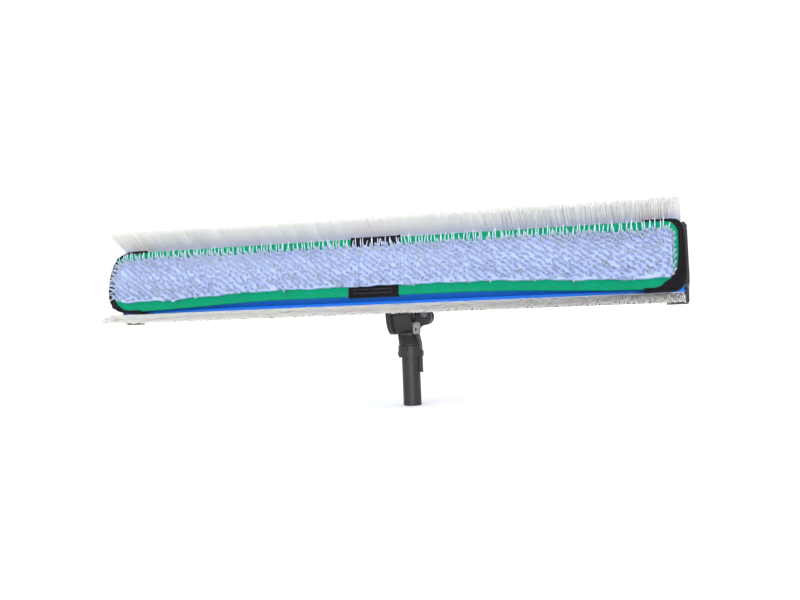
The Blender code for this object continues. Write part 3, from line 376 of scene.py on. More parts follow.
@dataclass(frozen=True)
class Finishes:
    """The materials of this object, each built once."""

    # A bright satin blue that holds its colour in the shade of the pad, with painted shade in a deeper blue
    # on the lips
    blue_coat: bpy.types.Material
    # Charcoal, with highlights that are broad and grey
    nylon: bpy.types.Material
    # Warm black knit
    elastic: bpy.types.Material
    # Saturated green weave
    green_cloth: bpy.types.Material
    # Pale blue fibres, greyer at their tips and bluer and a little darker towards the roots as painted shade
    # between the tufts, and a bluer ground that shows in the gaps
    pile: bpy.types.Material
    pile_ground: bpy.types.Material
    # Grey-white filaments that look nearly solid in a row, whiter at the root as painted light where the
    # row's foot lies in shade
    filament: bpy.types.Material
    # Bright zinc, and a darker steel for the pin in the black lever
    steel: bpy.types.Material
    dark_steel: bpy.types.Material
    # Dark brown and matt
    fibre: bpy.types.Material
    # Thread, in the green of the cloth, in a grey that stands out on black, and in black
    green_thread: bpy.types.Material
    grey_thread: bpy.types.Material
    black_thread: bpy.types.Material

    @classmethod
    def build(cls, space: "HeadSpace") -> "Finishes":
        """Makes every material.

        Args:
            space: The head's space, which tells where the body's lips lie.

        Returns:
            The set of materials.
        """
        finishes = {
            "blue_coat": CoatedAluminium(
                # the last colour is the deep blue of the painted shade on the lips
                "blue_coated_aluminium", "#1E8CFA", "#1478E6", 0.5, "#0B1D45", space.matrix.inverted()
            ),
            "nylon": MouldedNylon("moulded_nylon", "#1C1C1E", "#161618", 0.48),
            "elastic": WovenFabric("elastic_knit", "#19161B", "#0D0B0F", 0.85, thread=0.9 * MM, sheen=0.05),
            "green_cloth": WovenFabric("woven_green_polyester", "#049069", "#027E59", 0.85, sheen=0.0),
            # the root colour, bluer and darker than the tips, is painted shade deep between the tufts
            "pile": Strand("microfibre_pile", "#CAD1DB", "#B3BED1", 0.8, "#AEC0F0", sheen=0.1),
            "pile_ground": WovenFabric("pile_ground_cloth", "#AFC0EC", "#9FB1E6", 0.9, sheen=0.05),
            # the root colour, whiter than the tips, is painted light for the shaded foot of each row
            "filament": Strand("nylon_filament", "#F5F4F1", "#EBEAE7", 0.6, "#FFFDFA", root_reach=0.45),
            "steel": PlatedSteel("zinc_plated_steel", "#85878A", "#66696D", 0.34),
            "dark_steel": PlatedSteel("blackened_steel", "#6E6E70", "#58585A", 0.3),
            "fibre": PressedFibre("pressed_friction_fibre", "#1E1B19", "#131110", 0.9),
            "green_thread": WovenFabric("green_thread", "#0B8A55", "#087647", 0.7, thread=0.5 * MM),
            "grey_thread": WovenFabric("grey_thread", "#5C5A60", "#47454B", 0.7, thread=0.5 * MM),
            "black_thread": WovenFabric("black_thread", "#2A282C", "#1F1D21", 0.7, thread=0.5 * MM),
        }
        return cls(**{name: finish.build() for name, finish in finishes.items()})


# Meshes


def lofted(rings: np.ndarray) -> bpy.types.Mesh:
    """A closed mesh through rings with the same number of points.

    Args:
        rings: Points as (ring, point, xyz), each ring going round once.

    Returns:
        The mesh, with a flat face over each end ring.
    """
    count, size, _ = rings.shape
    start = np.arange(count - 1)[:, None] * size
    step = np.arange(size)[None, :]
    after = (step + 1) % size
    quads = np.stack([start + step, start + after, start + size + after, start + size + step], -1)
    faces = quads.reshape(-1, 4).tolist()
    faces.append(list(range(size))[::-1])
    faces.append(list(range((count - 1) * size, count * size)))
    mesh = bpy.data.meshes.new("loft")
    mesh.from_pydata(rings.reshape(-1, 3).tolist(), [], faces)
    mesh.shade_smooth()
    mesh.set_sharp_from_angle(angle=radians(40))
    return mesh


def strands(paths: np.ndarray, radii: np.ndarray, shade: np.ndarray, sides: int = 3) -> bpy.types.Mesh:
    """A mesh of thin closed strands.

    Args:
        paths: Middle points as (strand, ring, xyz), from root to tip.
        radii: Radius at each ring, as (strand, ring) or (ring,).
        shade: Each strand's own tone, from 0 to 1.
        sides: How many sides a strand has.

    Returns:
        The mesh, with the attributes "shade" and "reach" on its points.
    """
    count, rings, _ = paths.shape
    along = np.gradient(paths, axis=1)
    along /= np.linalg.norm(along, axis=2, keepdims=True)
    across = np.cross(along, (1.0, 0.13, 0.07))
    across /= np.linalg.norm(across, axis=2, keepdims=True)
    other = np.cross(along, across)
    turn = np.arange(sides) * 2 * pi / sides
    circle = (
        across[:, :, None, :] * np.cos(turn)[None, None, :, None]
        + other[:, :, None, :] * np.sin(turn)[None, None, :, None]
    )
    width = np.broadcast_to(radii, (count, rings))[:, :, None, None]
    points = paths[:, :, None, :] + width * circle
    base = (np.arange(count)[:, None, None] * rings + np.arange(rings - 1)[None, :, None]) * sides
    step = np.arange(sides)[None, None, :]
    after = (step + 1) % sides
    quads = np.stack([base + step, base + after, base + sides + after, base + sides + step], -1)
    first = np.arange(count)[:, None] * rings * sides
    root_caps = first + np.arange(sides)[None, ::-1]
    tip_caps = first + (rings - 1) * sides + np.arange(sides)[None, :]
    mesh = bpy.data.meshes.new("strands")
    faces = quads.reshape(-1, 4).tolist() + root_caps.tolist() + tip_caps.tolist()
    mesh.from_pydata(points.reshape(-1, 3).tolist(), [], faces)
    tones = np.repeat(shade, rings * sides).astype(np.float32)
    reach = np.tile(np.repeat(np.linspace(0, 1, rings), sides), count).astype(np.float32)
    for name, values in (("shade", tones), ("reach", reach)):
        mesh.attributes.new(name, "FLOAT", "POINT").data.foreach_set("value", values)
    if sides > 3:
        mesh.shade_smooth()
    return mesh


def smooth_step(value: np.ndarray, low: float, high: float) -> np.ndarray:
    """Goes smoothly from 0 at low to 1 at high.

    Args:
        value: Where to read it.
        low: Where it starts to rise.
        high: Where it has risen.

    Returns:
        The share at each value.
    """
    share = np.clip((value - low) / (high - low), 0, 1)
    return share * share * (3 - 2 * share)


def stitched(points: np.ndarray, stitch: float, thread: float) -> bpy.types.Mesh:
    """A line of separate stitches along a path on cloth that faces up.

    Args:
        points: The path, closely spaced.
        stitch: The length of a stitch; the pitch is a third longer.
        thread: The thread's radius.

    Returns:
        The mesh of the stitches.
    """
    steps = np.linalg.norm(np.diff(points, axis=0), axis=1)
    place = np.concatenate([[0], np.cumsum(steps)])
    starts = np.arange(0, place[-1] - stitch, stitch * 4 / 3)
    at = starts[:, None] + stitch * np.linspace(0, 1, 5)[None, :]
    path = np.stack([np.interp(at, place, points[:, k]) for k in range(3)], -1)
    path[:, :, 2] += thread * np.array([-0.6, 0.5, 0.8, 0.5, -0.6])
    return strands(path, thread * np.array([0.6, 1, 1, 1, 0.6]), np.full(len(starts), 0.5), sides=6)


@dataclass(frozen=True)
class HeadSpace:
    """Where the head's own space lies in the model."""

    lean: float = radians(15)
    axis_near: float = 44 * MM
    axis_back: float = 87 * MM

    @property
    def matrix(self) -> Matrix:
        """From the head's space to the model's, by the tilt joint and the pad's middle."""
        joint = next(j for j in frame["joints"] if j["child"] == HEAD)
        low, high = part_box("pad_backing")
        middle = (low[0] + high[0]) / 2
        return (
            Matrix.Translation((middle, joint["pos_m"][1], joint["pos_m"][2]))
            @ Matrix.Rotation(pi / 2 - self.lean, 4, "X")
            @ Matrix.Translation((0, self.axis_near, self.axis_back))
        )

    def box(self, node: str) -> tuple[np.ndarray, np.ndarray]:
        """A node's box in the head's space.

        Args:
            node: The node's name.

        Returns:
            Its lowest and highest corners.
        """
        back = self.matrix.inverted()
        points = np.array([back @ vertex.co for vertex in frame["nodes"][node].data.vertices])
        return points.min(axis=0), points.max(axis=0)

    def add(
        self,
        name: str,
        mesh: bpy.types.Mesh,
        material: bpy.types.Material,
        slot: str,
        replaced: tuple[str, ...] = (),
    ) -> bpy.types.Object:
        """Adds a piece that rides on the head.

        Args:
            name: The piece's name.
            mesh: Its mesh, in the head's space.
            material: Its material.
            slot: The record's material slot; not used.
            replaced: The CAD nodes that it stands for.

        Returns:
            The piece.
        """
        piece = bpy.data.objects.new(name, mesh)
        mesh.materials.append(material)
        bpy.context.scene.collection.objects.link(piece)
        piece.matrix_world = self.matrix
        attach(piece, HEAD)
        if replaced:
            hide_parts(*replaced)
        LOG.info("%s: %d faces", name, len(mesh.polygons))
        return piece


# Sub-assemblies


@dataclass(frozen=True)
class EndShape:
    """The outline of one end of the pad: a rounded end that starts at a place along X and comes to a tip."""

    start: float
    tip: float
    middle: float
    power: float

    def share(self, reach: np.ndarray) -> np.ndarray:
        """How much of the pad's width is left at a distance from the middle of the brush.

        Args:
            reach: Distances along X, all positive.

        Returns:
            1 on the straight part, falling to 0 at the tip.
        """
        into = np.clip((reach - self.start) / (self.tip - self.start), 0, 1)
        return (1 - into**self.power) ** (1 / self.power)

    def quarter(self, side: float, steps: int) -> tuple[np.ndarray, np.ndarray]:
        """A quarter of the rounded end, from the straight part to the tip.

        Args:
            side: Y of the straight edge that it starts on.
            steps: How many points it has.

        Returns:
            The points and their outward normals, both as (point, xy), drawn as for the right end.
        """
        turn = np.linspace(0, pi / 2, steps)
        x_share, y_share = np.sin(turn) ** (2 / self.power), np.cos(turn) ** (2 / self.power)
        width = side - self.middle
        points = np.stack([self.start + (self.tip - self.start) * x_share, self.middle + width * y_share], -1)
        slopes = np.gradient(points, axis=0)
        normals = np.stack([-slopes[:, 1], slopes[:, 0]], -1)
        normals *= np.sign(width)
        return points, normals / np.linalg.norm(normals, axis=1, keepdims=True)


@dataclass
class WashPad:
    """The green pad with its microfibre pile. Its near edge droops towards the ends."""

    space: HeadSpace
    finishes: Finishes
    edge_round: float = 2.2 * MM
    middle_half: float = 38.6 * MM  # the near edge at the middle of the brush
    droop_left: float = 7.5 * MM
    droop_right: float = 7 * MM
    droop_start: float = 130 * MM
    droop_end: float = 345 * MM
    left_shape: EndShape = EndShape(359 * MM, 394.3 * MM, -5 * MM, 2.6)
    right_shape: EndShape = EndShape(362 * MM, 386 * MM, -3 * MM, 4.0)
    ripple: float = 0.35 * MM
    ripple_pitch: float = 61 * MM
    ripple_slant: float = 60.0  # radians for each metre across
    hem: float = 3.2 * MM
    stitch: float = 3.2 * MM
    thread: float = 0.35 * MM
    stitch_level: float = 0.1 * MM
    tuft_pitch: float = 6.6 * MM
    tuft_row: float = 3.6 * MM
    tuft_slant: float = 0.32  # each column starts this share of a step nearer than the last
    tuft_jitter: float = 1.15 * MM
    tuft_fibres: int = 10
    tuft_radius: float = 1.35 * MM
    fibre_length: float = 16 * MM
    fibre_radius: float = 0.6 * MM
    lean: float = 0.1  # of a tuft towards the far edge, against its height
    lean_spread: float = 0.12  # added at the far edge, and taken away at the near one
    near_tuck: float = 0.18  # taken away as well in the rows along the near edge
    lean_wave: float = 0.05  # more or less, in slow waves along the pad
    lean_noise: float = 0.04
    edge_wave: float = 0.1  # more or less, in quick waves along the near edge
    edge_noise: tuple[float, float] = (0.1, 0.12)  # there as well, along X and along Y
    end_lean: float = 0.2  # outward, past the straight part
    end_lean_from: float = 358 * MM
    end_lean_over: float = 20 * MM
    stray_pitch: float = 4.4 * MM
    stray_radius: float = 0.68 * MM
    stray_length: float = 20.5 * MM
    stray_tone: float = 0.75
    pile_near: float = 13.6 * MM  # from the pad's near edge to the first row of tufts
    pile_far: float = 25.5 * MM
    fray: float = 0.6 * MM  # how unevenly the pile ends along the near edge
    pile_left_end: float = -381 * MM
    pile_corner_left: float = 15 * MM
    pile_corner_right: float = 6 * MM
    ground_height: float = 11 * MM

    def __post_init__(self) -> None:
        """Reads the pad's size from the CAD nodes."""
        low, high = self.space.box("pad_backing")
        self.half_width = float(high[1])
        self.thick = float(high[2] - low[2])

    def near_edge(self, x: np.ndarray | float) -> np.ndarray:
        """Y of the pad's near edge, without its corners, at each x."""
        droop = np.where(x < 0, self.droop_left, self.droop_right)
        return -self.middle_half - droop * smooth_step(np.abs(x), self.droop_start, self.droop_end)

    def edges(self, x: np.ndarray) -> tuple[np.ndarray, np.ndarray]:
        """Y of the near and far edges with the rounded corners.

        Args:
            x: Places along the brush.

        Returns:
            The near and the far edge at each place.
        """
        left, right = self.left_shape, self.right_shape
        share = np.where(x < 0, left.share(-x), right.share(x))
        middle = np.where(x < 0, left.middle, right.middle)
        return middle + (self.near_edge(x) - middle) * share, middle + (self.half_width - middle) * share

    def stations(self) -> np.ndarray:
        """Places along the brush, closer together round the ends."""
        turn = np.sin(np.linspace(0, 0.48 * pi, 16))
        left = -self.left_shape.start - (self.left_shape.tip - self.left_shape.start) * turn[::-1]
        right = self.right_shape.start + (self.right_shape.tip - self.right_shape.start) * turn
        return np.concatenate([left, np.linspace(left[-1], right[0], 180)[1:-1], right])

    def build_cloth(self) -> None:
        """The padded cloth, with a soft edge, and its two lines of stitches."""
        x = self.stations()
        near, far = self.edges(x)
        rise = self.thick / 2
        turn = np.linspace(-pi / 2, -3 * pi / 2, 8)
        cross = np.linspace(0, 1, 20)[1:-1]
        rings = []
        for place, low, high in zip(x, near, far):
            soft = min(self.edge_round, (high - low) / 3)
            near_arc = [(low + soft + soft * np.cos(a), rise * np.sin(a) - rise) for a in turn]
            top_y = low + soft + (high - low - 2 * soft) * cross
            wave = np.sin(2 * pi * place / self.ripple_pitch + self.ripple_slant * top_y)
            top = [(y, self.ripple * w * np.sin(pi * c)) for y, w, c in zip(top_y, wave, cross)]
            far_arc = [(high - soft - soft * np.cos(a), rise * np.sin(a) - rise) for a in turn[::-1]]
            bottom = [(high - soft + (low - high + 2 * soft) * c, -self.thick) for c in (0.25, 0.5, 0.75)]
            rings.append([(place, y, z) for y, z in near_arc + top + far_arc + bottom])
        mesh = lofted(np.array(rings))
        cloth = self.space.add(
            "pad_cloth", mesh, self.finishes.green_cloth, "green_woven_fabric", ("pad_backing",)
        )
        self.build_hem()

    def build_hem(self) -> None:
        """Stitches a little in from the pad's two long edges."""
        x = np.linspace(-self.left_shape.start, self.right_shape.start, 400)
        near, far = self.edges(x)
        for side, y in ((Side.NEAR, near + self.hem), (Side.FAR, far - self.hem)):
            path = np.stack([x, y, np.full_like(x, self.stitch_level)], -1)
            mesh = stitched(path, self.stitch, self.thread)
            name = f"hem_stitches_{side.name.lower()}"
            self.space.add(name, mesh, self.finishes.green_thread, "green_woven_fabric")

    def pile_rows(self, x: np.ndarray) -> tuple[np.ndarray, np.ndarray]:
        """Y of the pile's first and last rows at each x."""
        frayed = self.fray * (np.sin(x / (11 * MM)) + 0.7 * np.sin(x / (4.3 * MM)))
        return self.near_edge(x) + self.pile_near + frayed, np.full_like(x, self.pile_far)

    def tuft_places(self, left: float, right: float, chance: np.random.Generator) -> np.ndarray:
        """Staggered places of the tufts on one width of pile.

        Args:
            left: The width's left end.
            right: Its right end.
            chance: The random numbers.

        Returns:
            The places as (tuft, xy).
        """
        columns = np.arange(left + self.tuft_pitch / 4, right, self.tuft_pitch / 2)
        near, far = self.pile_rows(columns)
        places = []
        for i, (x, low, high) in enumerate(zip(columns, near, far)):
            rows = max(2, round((high - low) / (2 * self.tuft_row)))
            y = low + (high - low) * (np.arange(rows) + (-self.tuft_slant * i) % 1) / rows
            places += [(x, value) for value in y if value < high + self.tuft_row / 4]
        spots = np.array(places)
        spots += chance.uniform(-1, 1, spots.shape) * self.tuft_jitter
        low, high = self.pile_rows(spots[:, 0])
        pile_right_end = self.space.box("pile_right")[1][0]
        for end, limit, corner in (
            (End.LEFT, self.pile_left_end, self.pile_corner_left),
            (End.RIGHT, pile_right_end, self.pile_corner_right),
        ):
            into = end.value * (spots[:, 0] - limit) + corner
            over = np.maximum(low + corner - spots[:, 1], spots[:, 1] - high + corner)
            spots = spots[(into <= 0) | (over <= 0) | (np.hypot(into, over) < corner)]
            low, high = self.pile_rows(spots[:, 0])
        return spots

    def tuft_leans(self, spots: np.ndarray, share: np.ndarray, chance: np.random.Generator) -> np.ndarray:
        """How far each tuft leans, against its height.

        Args:
            spots: The tufts' places, as (tuft, xy).
            share: How far each one is across the pile, from -1 at the near edge to 1 at the far one.
            chance: The random numbers.

        Returns:
            The leans, as (tuft, xy).
        """
        x, count = spots[:, 0], len(spots)
        lean_y = self.lean + self.lean_spread * share
        lean_y -= self.near_tuck * np.clip((-share - 0.75) / 0.25, 0, 1)
        wave_y = self.lean_wave * np.sin(x / (37 * MM) + 2 * share)
        lean_y += wave_y + chance.normal(0, self.lean_noise, count)
        at_edge = np.clip((-share - 0.7) / 0.3, 0, 1)
        noise_x, noise_y = self.edge_noise
        lean_y += at_edge * (self.edge_wave * np.sin(x / (9 * MM)) + chance.normal(0, noise_y, count))
        lean_x = self.lean_wave * np.sin(x / (43 * MM) + 3 * share + 1)
        lean_x += at_edge * chance.normal(0, noise_x, count)
        past_end = np.clip((np.abs(x) - self.end_lean_from) / self.end_lean_over, 0, 1)
        lean_x += self.end_lean * past_end * np.sign(x)
        return np.stack([lean_x, lean_y], -1)

    def build_width(self, node: str, number: int) -> None:
        """One width of pile: its tufts, and the ground cloth that they stand on.

        Args:
            node: The CAD node that it stands for.
            number: Which width it is, which sets its random numbers.
        """
        chance = np.random.default_rng(SEED + number)
        left, right = (float(corner[0]) for corner in self.space.box(node))
        if node == "pile_left":
            left = self.pile_left_end
        spots = self.tuft_places(left, right, chance)
        near, far = self.pile_rows(spots[:, 0])
        leans = self.tuft_leans(spots, (spots[:, 1] - (near + far) / 2) / ((far - near) / 2), chance)
        count = len(spots) * self.tuft_fibres
        tuft = np.repeat(np.arange(len(spots)), self.tuft_fibres)
        angle = chance.uniform(0, 2 * pi, count)
        out = self.tuft_radius * np.sqrt(chance.uniform(0, 1, count))
        offset = np.stack([out * np.cos(angle), out * np.sin(angle)], -1)
        length = self.fibre_length * chance.uniform(0.93, 1.04, count)
        tip = leans[tuft] + chance.normal(0, 0.035, (count, 2))
        shares = np.array([0, 0.4, 0.75, 1])
        flat = (
            spots[tuft][:, None, :]
            + offset[:, None, :] * (0.8 + 0.6 * shares[None, :, None])
            + tip[:, None, :] * (length[:, None] * shares[None, :] ** 1.5)[:, :, None]
        )
        up = GAP + length[:, None] * shares[None, :]
        tone = np.clip(chance.normal(0.6, 0.22, count) + 0.12 * chance.normal(0, 1, len(spots))[tuft], 0, 1)
        strays = self.stray_paths(left, right, chance)
        paths = np.concatenate([np.concatenate([flat, up[:, :, None]], -1), strays])
        radii = np.concatenate([
            np.tile(self.fibre_radius * np.array([1.0, 1.0, 0.95, 0.55]), (count, 1)),
            np.tile(self.stray_radius * np.array([1.0, 1.0, 0.85, 0.5]), (len(strays), 1)),
        ])
        mesh = strands(paths, radii, np.concatenate([tone, np.full(len(strays), self.stray_tone)]))
        self.space.add(node + "_fibres", mesh, self.finishes.pile, "pale_blue_microfibre", (node,))
        self.build_ground(node, left, right, chance)

    def stray_paths(self, left: float, right: float, chance: np.random.Generator) -> np.ndarray:
        """Longer fibres that lie out over the pad's far edge and, at the left end, over the pocket's rim.

        Args:
            left: The width's left end.
            right: Its right end.
            chance: The random numbers.

        Returns:
            Their middle points as (strand, ring, xyz).
        """
        starts, ways = [], []
        x = np.arange(left + 2 * MM, right - 1 * MM, self.stray_pitch)
        x = x + chance.uniform(-0.45, 0.45, len(x)) * self.stray_pitch
        for place in x:
            starts.append((place, self.pile_far - chance.uniform(0, 3) * MM))
            ways.append((chance.normal(0, 0.07), chance.uniform(0.55, 0.8)))
        if left <= self.pile_left_end:
            near = float(self.pile_rows(np.array([left]))[0][0])
            for y in np.arange(near + 4 * MM, self.pile_far - 2 * MM, self.stray_pitch):
                share = (y - near) / (self.pile_far - near)
                starts.append((left + 4 * MM * (1 - 4 * share * (1 - share)) + chance.uniform(0, 2) * MM, y))
                ways.append((-chance.uniform(0.3, 0.55), 0.25 * (share - 0.5) + chance.normal(0, 0.08)))
        start, way = np.array(starts), np.array(ways)
        length = self.stray_length * chance.uniform(0.8, 1.0, len(start))
        shares = np.array([0, 0.35, 0.7, 1])
        flat = start[:, None, :] + way[:, None, :] * (length[:, None] * shares[None, :] ** 1.25)[:, :, None]
        up = np.broadcast_to(np.array([0.5, 0.78, 0.9, 0.86]) * self.fibre_length, (len(start), 4))
        return np.concatenate([flat, up[:, :, None]], -1)

    def build_ground(self, node: str, left: float, right: float, chance: np.random.Generator) -> None:
        """The thick looped ground under the tufts, crowned and uneven.

        Args:
            node: The CAD node that gives the piece its name.
            left: The width's left end.
            right: Its right end.
            chance: The random numbers.
        """
        x = np.linspace(left + GAP, right - GAP, max(12, int((right - left) / (4 * MM))))
        near, far = self.pile_rows(x)
        outer_left = self.pile_left_end
        outer_right = self.space.box("pile_right")[1][0]
        corner = np.where(x < 0, self.pile_corner_left, self.pile_corner_right)
        into = np.clip(np.maximum(outer_left + corner - x, x - outer_right + corner), 0, corner)
        drop = corner - np.sqrt(np.maximum(corner**2 - into**2, 0))
        cross = np.linspace(0, 1, 16)
        crown = np.sin(pi * np.clip(cross, 0.02, 0.98)) ** 0.25
        rings = []
        for place, low, high, cut in zip(x, near + drop - 1 * MM, far - drop + 1 * MM, drop):
            level = self.ground_height * (1 - 0.25 * cut / self.pile_corner_left)
            rough = chance.uniform(-0.6, 0.4, len(cross)) * MM
            top = [(place, low + (high - low) * c, level * k + r) for c, k, r in zip(cross, crown, rough)]
            rings.append([(place, low, 2 * GAP), *top, (place, high, 2 * GAP)])
        mesh = lofted(np.array(rings)[:, ::-1])
        self.space.add(node + "_ground", mesh, self.finishes.pile_ground, "pale_blue_microfibre")

    def build(self) -> None:
        """Builds the cloth and the three widths of pile."""
        self.build_cloth()
        for number, node in enumerate(("pile_left", "pile_centre", "pile_right")):
            self.build_width(node, number)


@dataclass
class EndPocket:
    """A black elastic pocket over one end of the pad, widest at the near corner."""

    pad: WashPad
    end: End
    shape: EndShape
    rim_x: float
    rim_y: float
    near_middle: float
    fabric: float = 1.2 * MM
    mouth: float = 341 * MM
    far_radius: float = 17.5 * MM
    near_run: float = 44 * MM
    near_over: float = 2.7 * MM
    skirt: float = 22 * MM
    end_skirt: float = 5.2 * MM
    skirt_lean: float = 0.16
    rim_steps: tuple[float, float, float] = (0.6, 40, 0.25)  # the widths to try, in mm: from, to and step
    pucker: float = 0.25 * MM
    kink: float = 4 * MM  # below the pad's face, where the skirt starts to lean in
    near_corner: tuple[float, float] = (39 * MM, 43 * MM)  # across, where the long skirt comes back
    end_turn: tuple[float, float] = (358 * MM, 374 * MM)  # along, where the skirt shortens
    top_point: int = 3  # of the section, on the flat of the front
    narrow: float = 4 * MM  # a hem narrower than this has no stitches
    stitch_inset: float = 2.2 * MM
    stitch: float = 2.6 * MM
    thread: float = 0.3 * MM

    def near(self) -> float:
        """Y of the pad's near edge inside the pocket."""
        return float(self.pad.near_edge(self.end.value * self.shape.start))

    def outline(self) -> tuple[np.ndarray, np.ndarray]:
        """The pad's edge from the far side round the end to the near side, drawn as for the right end.

        Returns:
            The points and the outward normals, both as (point, xy).
        """
        far, near = self.pad.half_width, self.near()
        run = np.linspace(self.mouth, self.shape.start, 12)[:-1]
        far_run = np.stack([run, np.full_like(run, far)], -1)
        near_run = np.stack([run[::-1], self.pad.near_edge(self.end.value * run[::-1])], -1)
        far_round, far_out = self.shape.quarter(far, 22)
        near_round, near_out = self.shape.quarter(near, 22)
        points = np.concatenate([far_run, far_round[:-1], near_round[::-1], near_run])
        ups = np.tile((0.0, 1.0), (len(run), 1))
        normals = np.concatenate([ups, far_out[:-1], near_out[::-1], -ups])
        return points, normals

    def in_opening(self, x: float, y: float) -> bool:
        """Whether a place is inside the pocket's opening, where the pad shows."""
        rim_x = self.rim_x
        if x > rim_x or y > self.rim_y:
            return False
        far_x, far_y = x - rim_x + self.far_radius, y - self.rim_y + self.far_radius
        if far_x > 0 and far_y > 0:
            return far_x**2 + far_y**2 < self.far_radius**2
        near_x, near_y = x - rim_x + self.near_run, y - self.near_middle
        if near_x > 0 and near_y < 0:
            reach = self.near_over - self.near() + self.near_middle
            return (near_x / self.near_run) ** 2 + (near_y / reach) ** 2 < 1
        return True

    def rim_width(self, point: np.ndarray, normal: np.ndarray) -> float:
        """How far the pocket's front reaches in from one place on the pad's edge."""
        for step in np.arange(*self.rim_steps):
            x, y = point - normal * step * MM
            if self.in_opening(x, y):
                return step * MM
        return self.rim_steps[0] * MM

    def section(self, number: int, width: float, drop: float) -> list[tuple[float, float]]:
        """The fabric's closed section at one place on the pad's edge, from the hem on the front to the skirt.

        Args:
            number: The place's number, which sets how the fabric puckers.
            width: How far the front reaches in.
            drop: How far down the skirt hangs.

        Returns:
            Points as (outward, up), first along the outside and then back along the inside.
        """
        thick, low, kink = self.fabric, -drop, -self.kink
        wave = self.pucker * np.sin(number * 1.9) + 0.4 * self.pucker * np.sin(number * 3.1)
        top = GAP + thick + wave * 0.6
        inward = self.skirt_lean * (drop + kink)
        half_way = (low + kink) / 2
        return [
            (-width - 0.5 * thick, top - 0.3 * thick),
            (-width - 0.1 * thick, top + 0.45 * thick),
            (-width + 0.8 * thick, top + 0.15 * thick),
            (-width * 0.45, top),
            (0.4 * thick, top - 0.1 * thick),
            (1.1 * thick, top - 0.9 * thick),
            (1.35 * thick + wave, top - 2.4 * thick),
            (1.35 * thick + wave, kink),
            (1.35 * thick - 0.5 * inward + wave, half_way),
            (1.5 * thick - inward, low + thick),
            (1.1 * thick - inward, low),
            (0.35 * thick - inward, low + 0.6 * thick),
            (0.35 * thick - 0.5 * inward, half_way),
            (0.3 * thick, kink),
            (0.3 * thick, top - 2.4 * thick),
            (0.0, top - 1.2 * thick),
            (-width * 0.45, top - thick),
            (-width + 0.6 * thick, top - thick),
        ]

    def build(self) -> None:
        """The fabric shell with its rolled hem, and the stitches along the hem."""
        points, normals = self.outline()
        widths = np.array([self.rim_width(p, n) for p, n in zip(points, normals)])
        widths = np.convolve(np.pad(widths, 1, mode="edge"), np.array([0.25, 0.5, 0.25]), mode="valid")
        beside_riser = 1 - smooth_step(-points[:, 1], *self.near_corner)
        at_end = smooth_step(points[:, 0], *self.end_turn) * beside_riser
        drops = self.skirt + (self.end_skirt - self.skirt) * at_end
        rings, hem = [], []
        for i, (point, normal, width, drop) in enumerate(zip(points, normals, widths, drops)):
            section = self.section(i, width, drop)
            places = [(*(point + normal * out), z) for out, z in section]
            rings.append([(self.end.value * x, y, z) for x, y, z in places])
            x, y = point - normal * (width - self.stitch_inset)
            hem.append((self.end.value * x, y, section[self.top_point][1]))
        mesh = lofted(np.array(rings)[:, :: -self.end.value])
        name = f"pocket_{self.end.name.lower()}"
        space, finishes = self.pad.space, self.pad.finishes
        shell = space.add(name + "_cloth", mesh, finishes.elastic, "black_elastic_fabric", (name,))
        mesh = stitched(np.array(hem)[widths > self.narrow], self.stitch, self.thread)
        space.add(name + "_stitches", mesh, finishes.black_thread, "black_elastic_fabric")


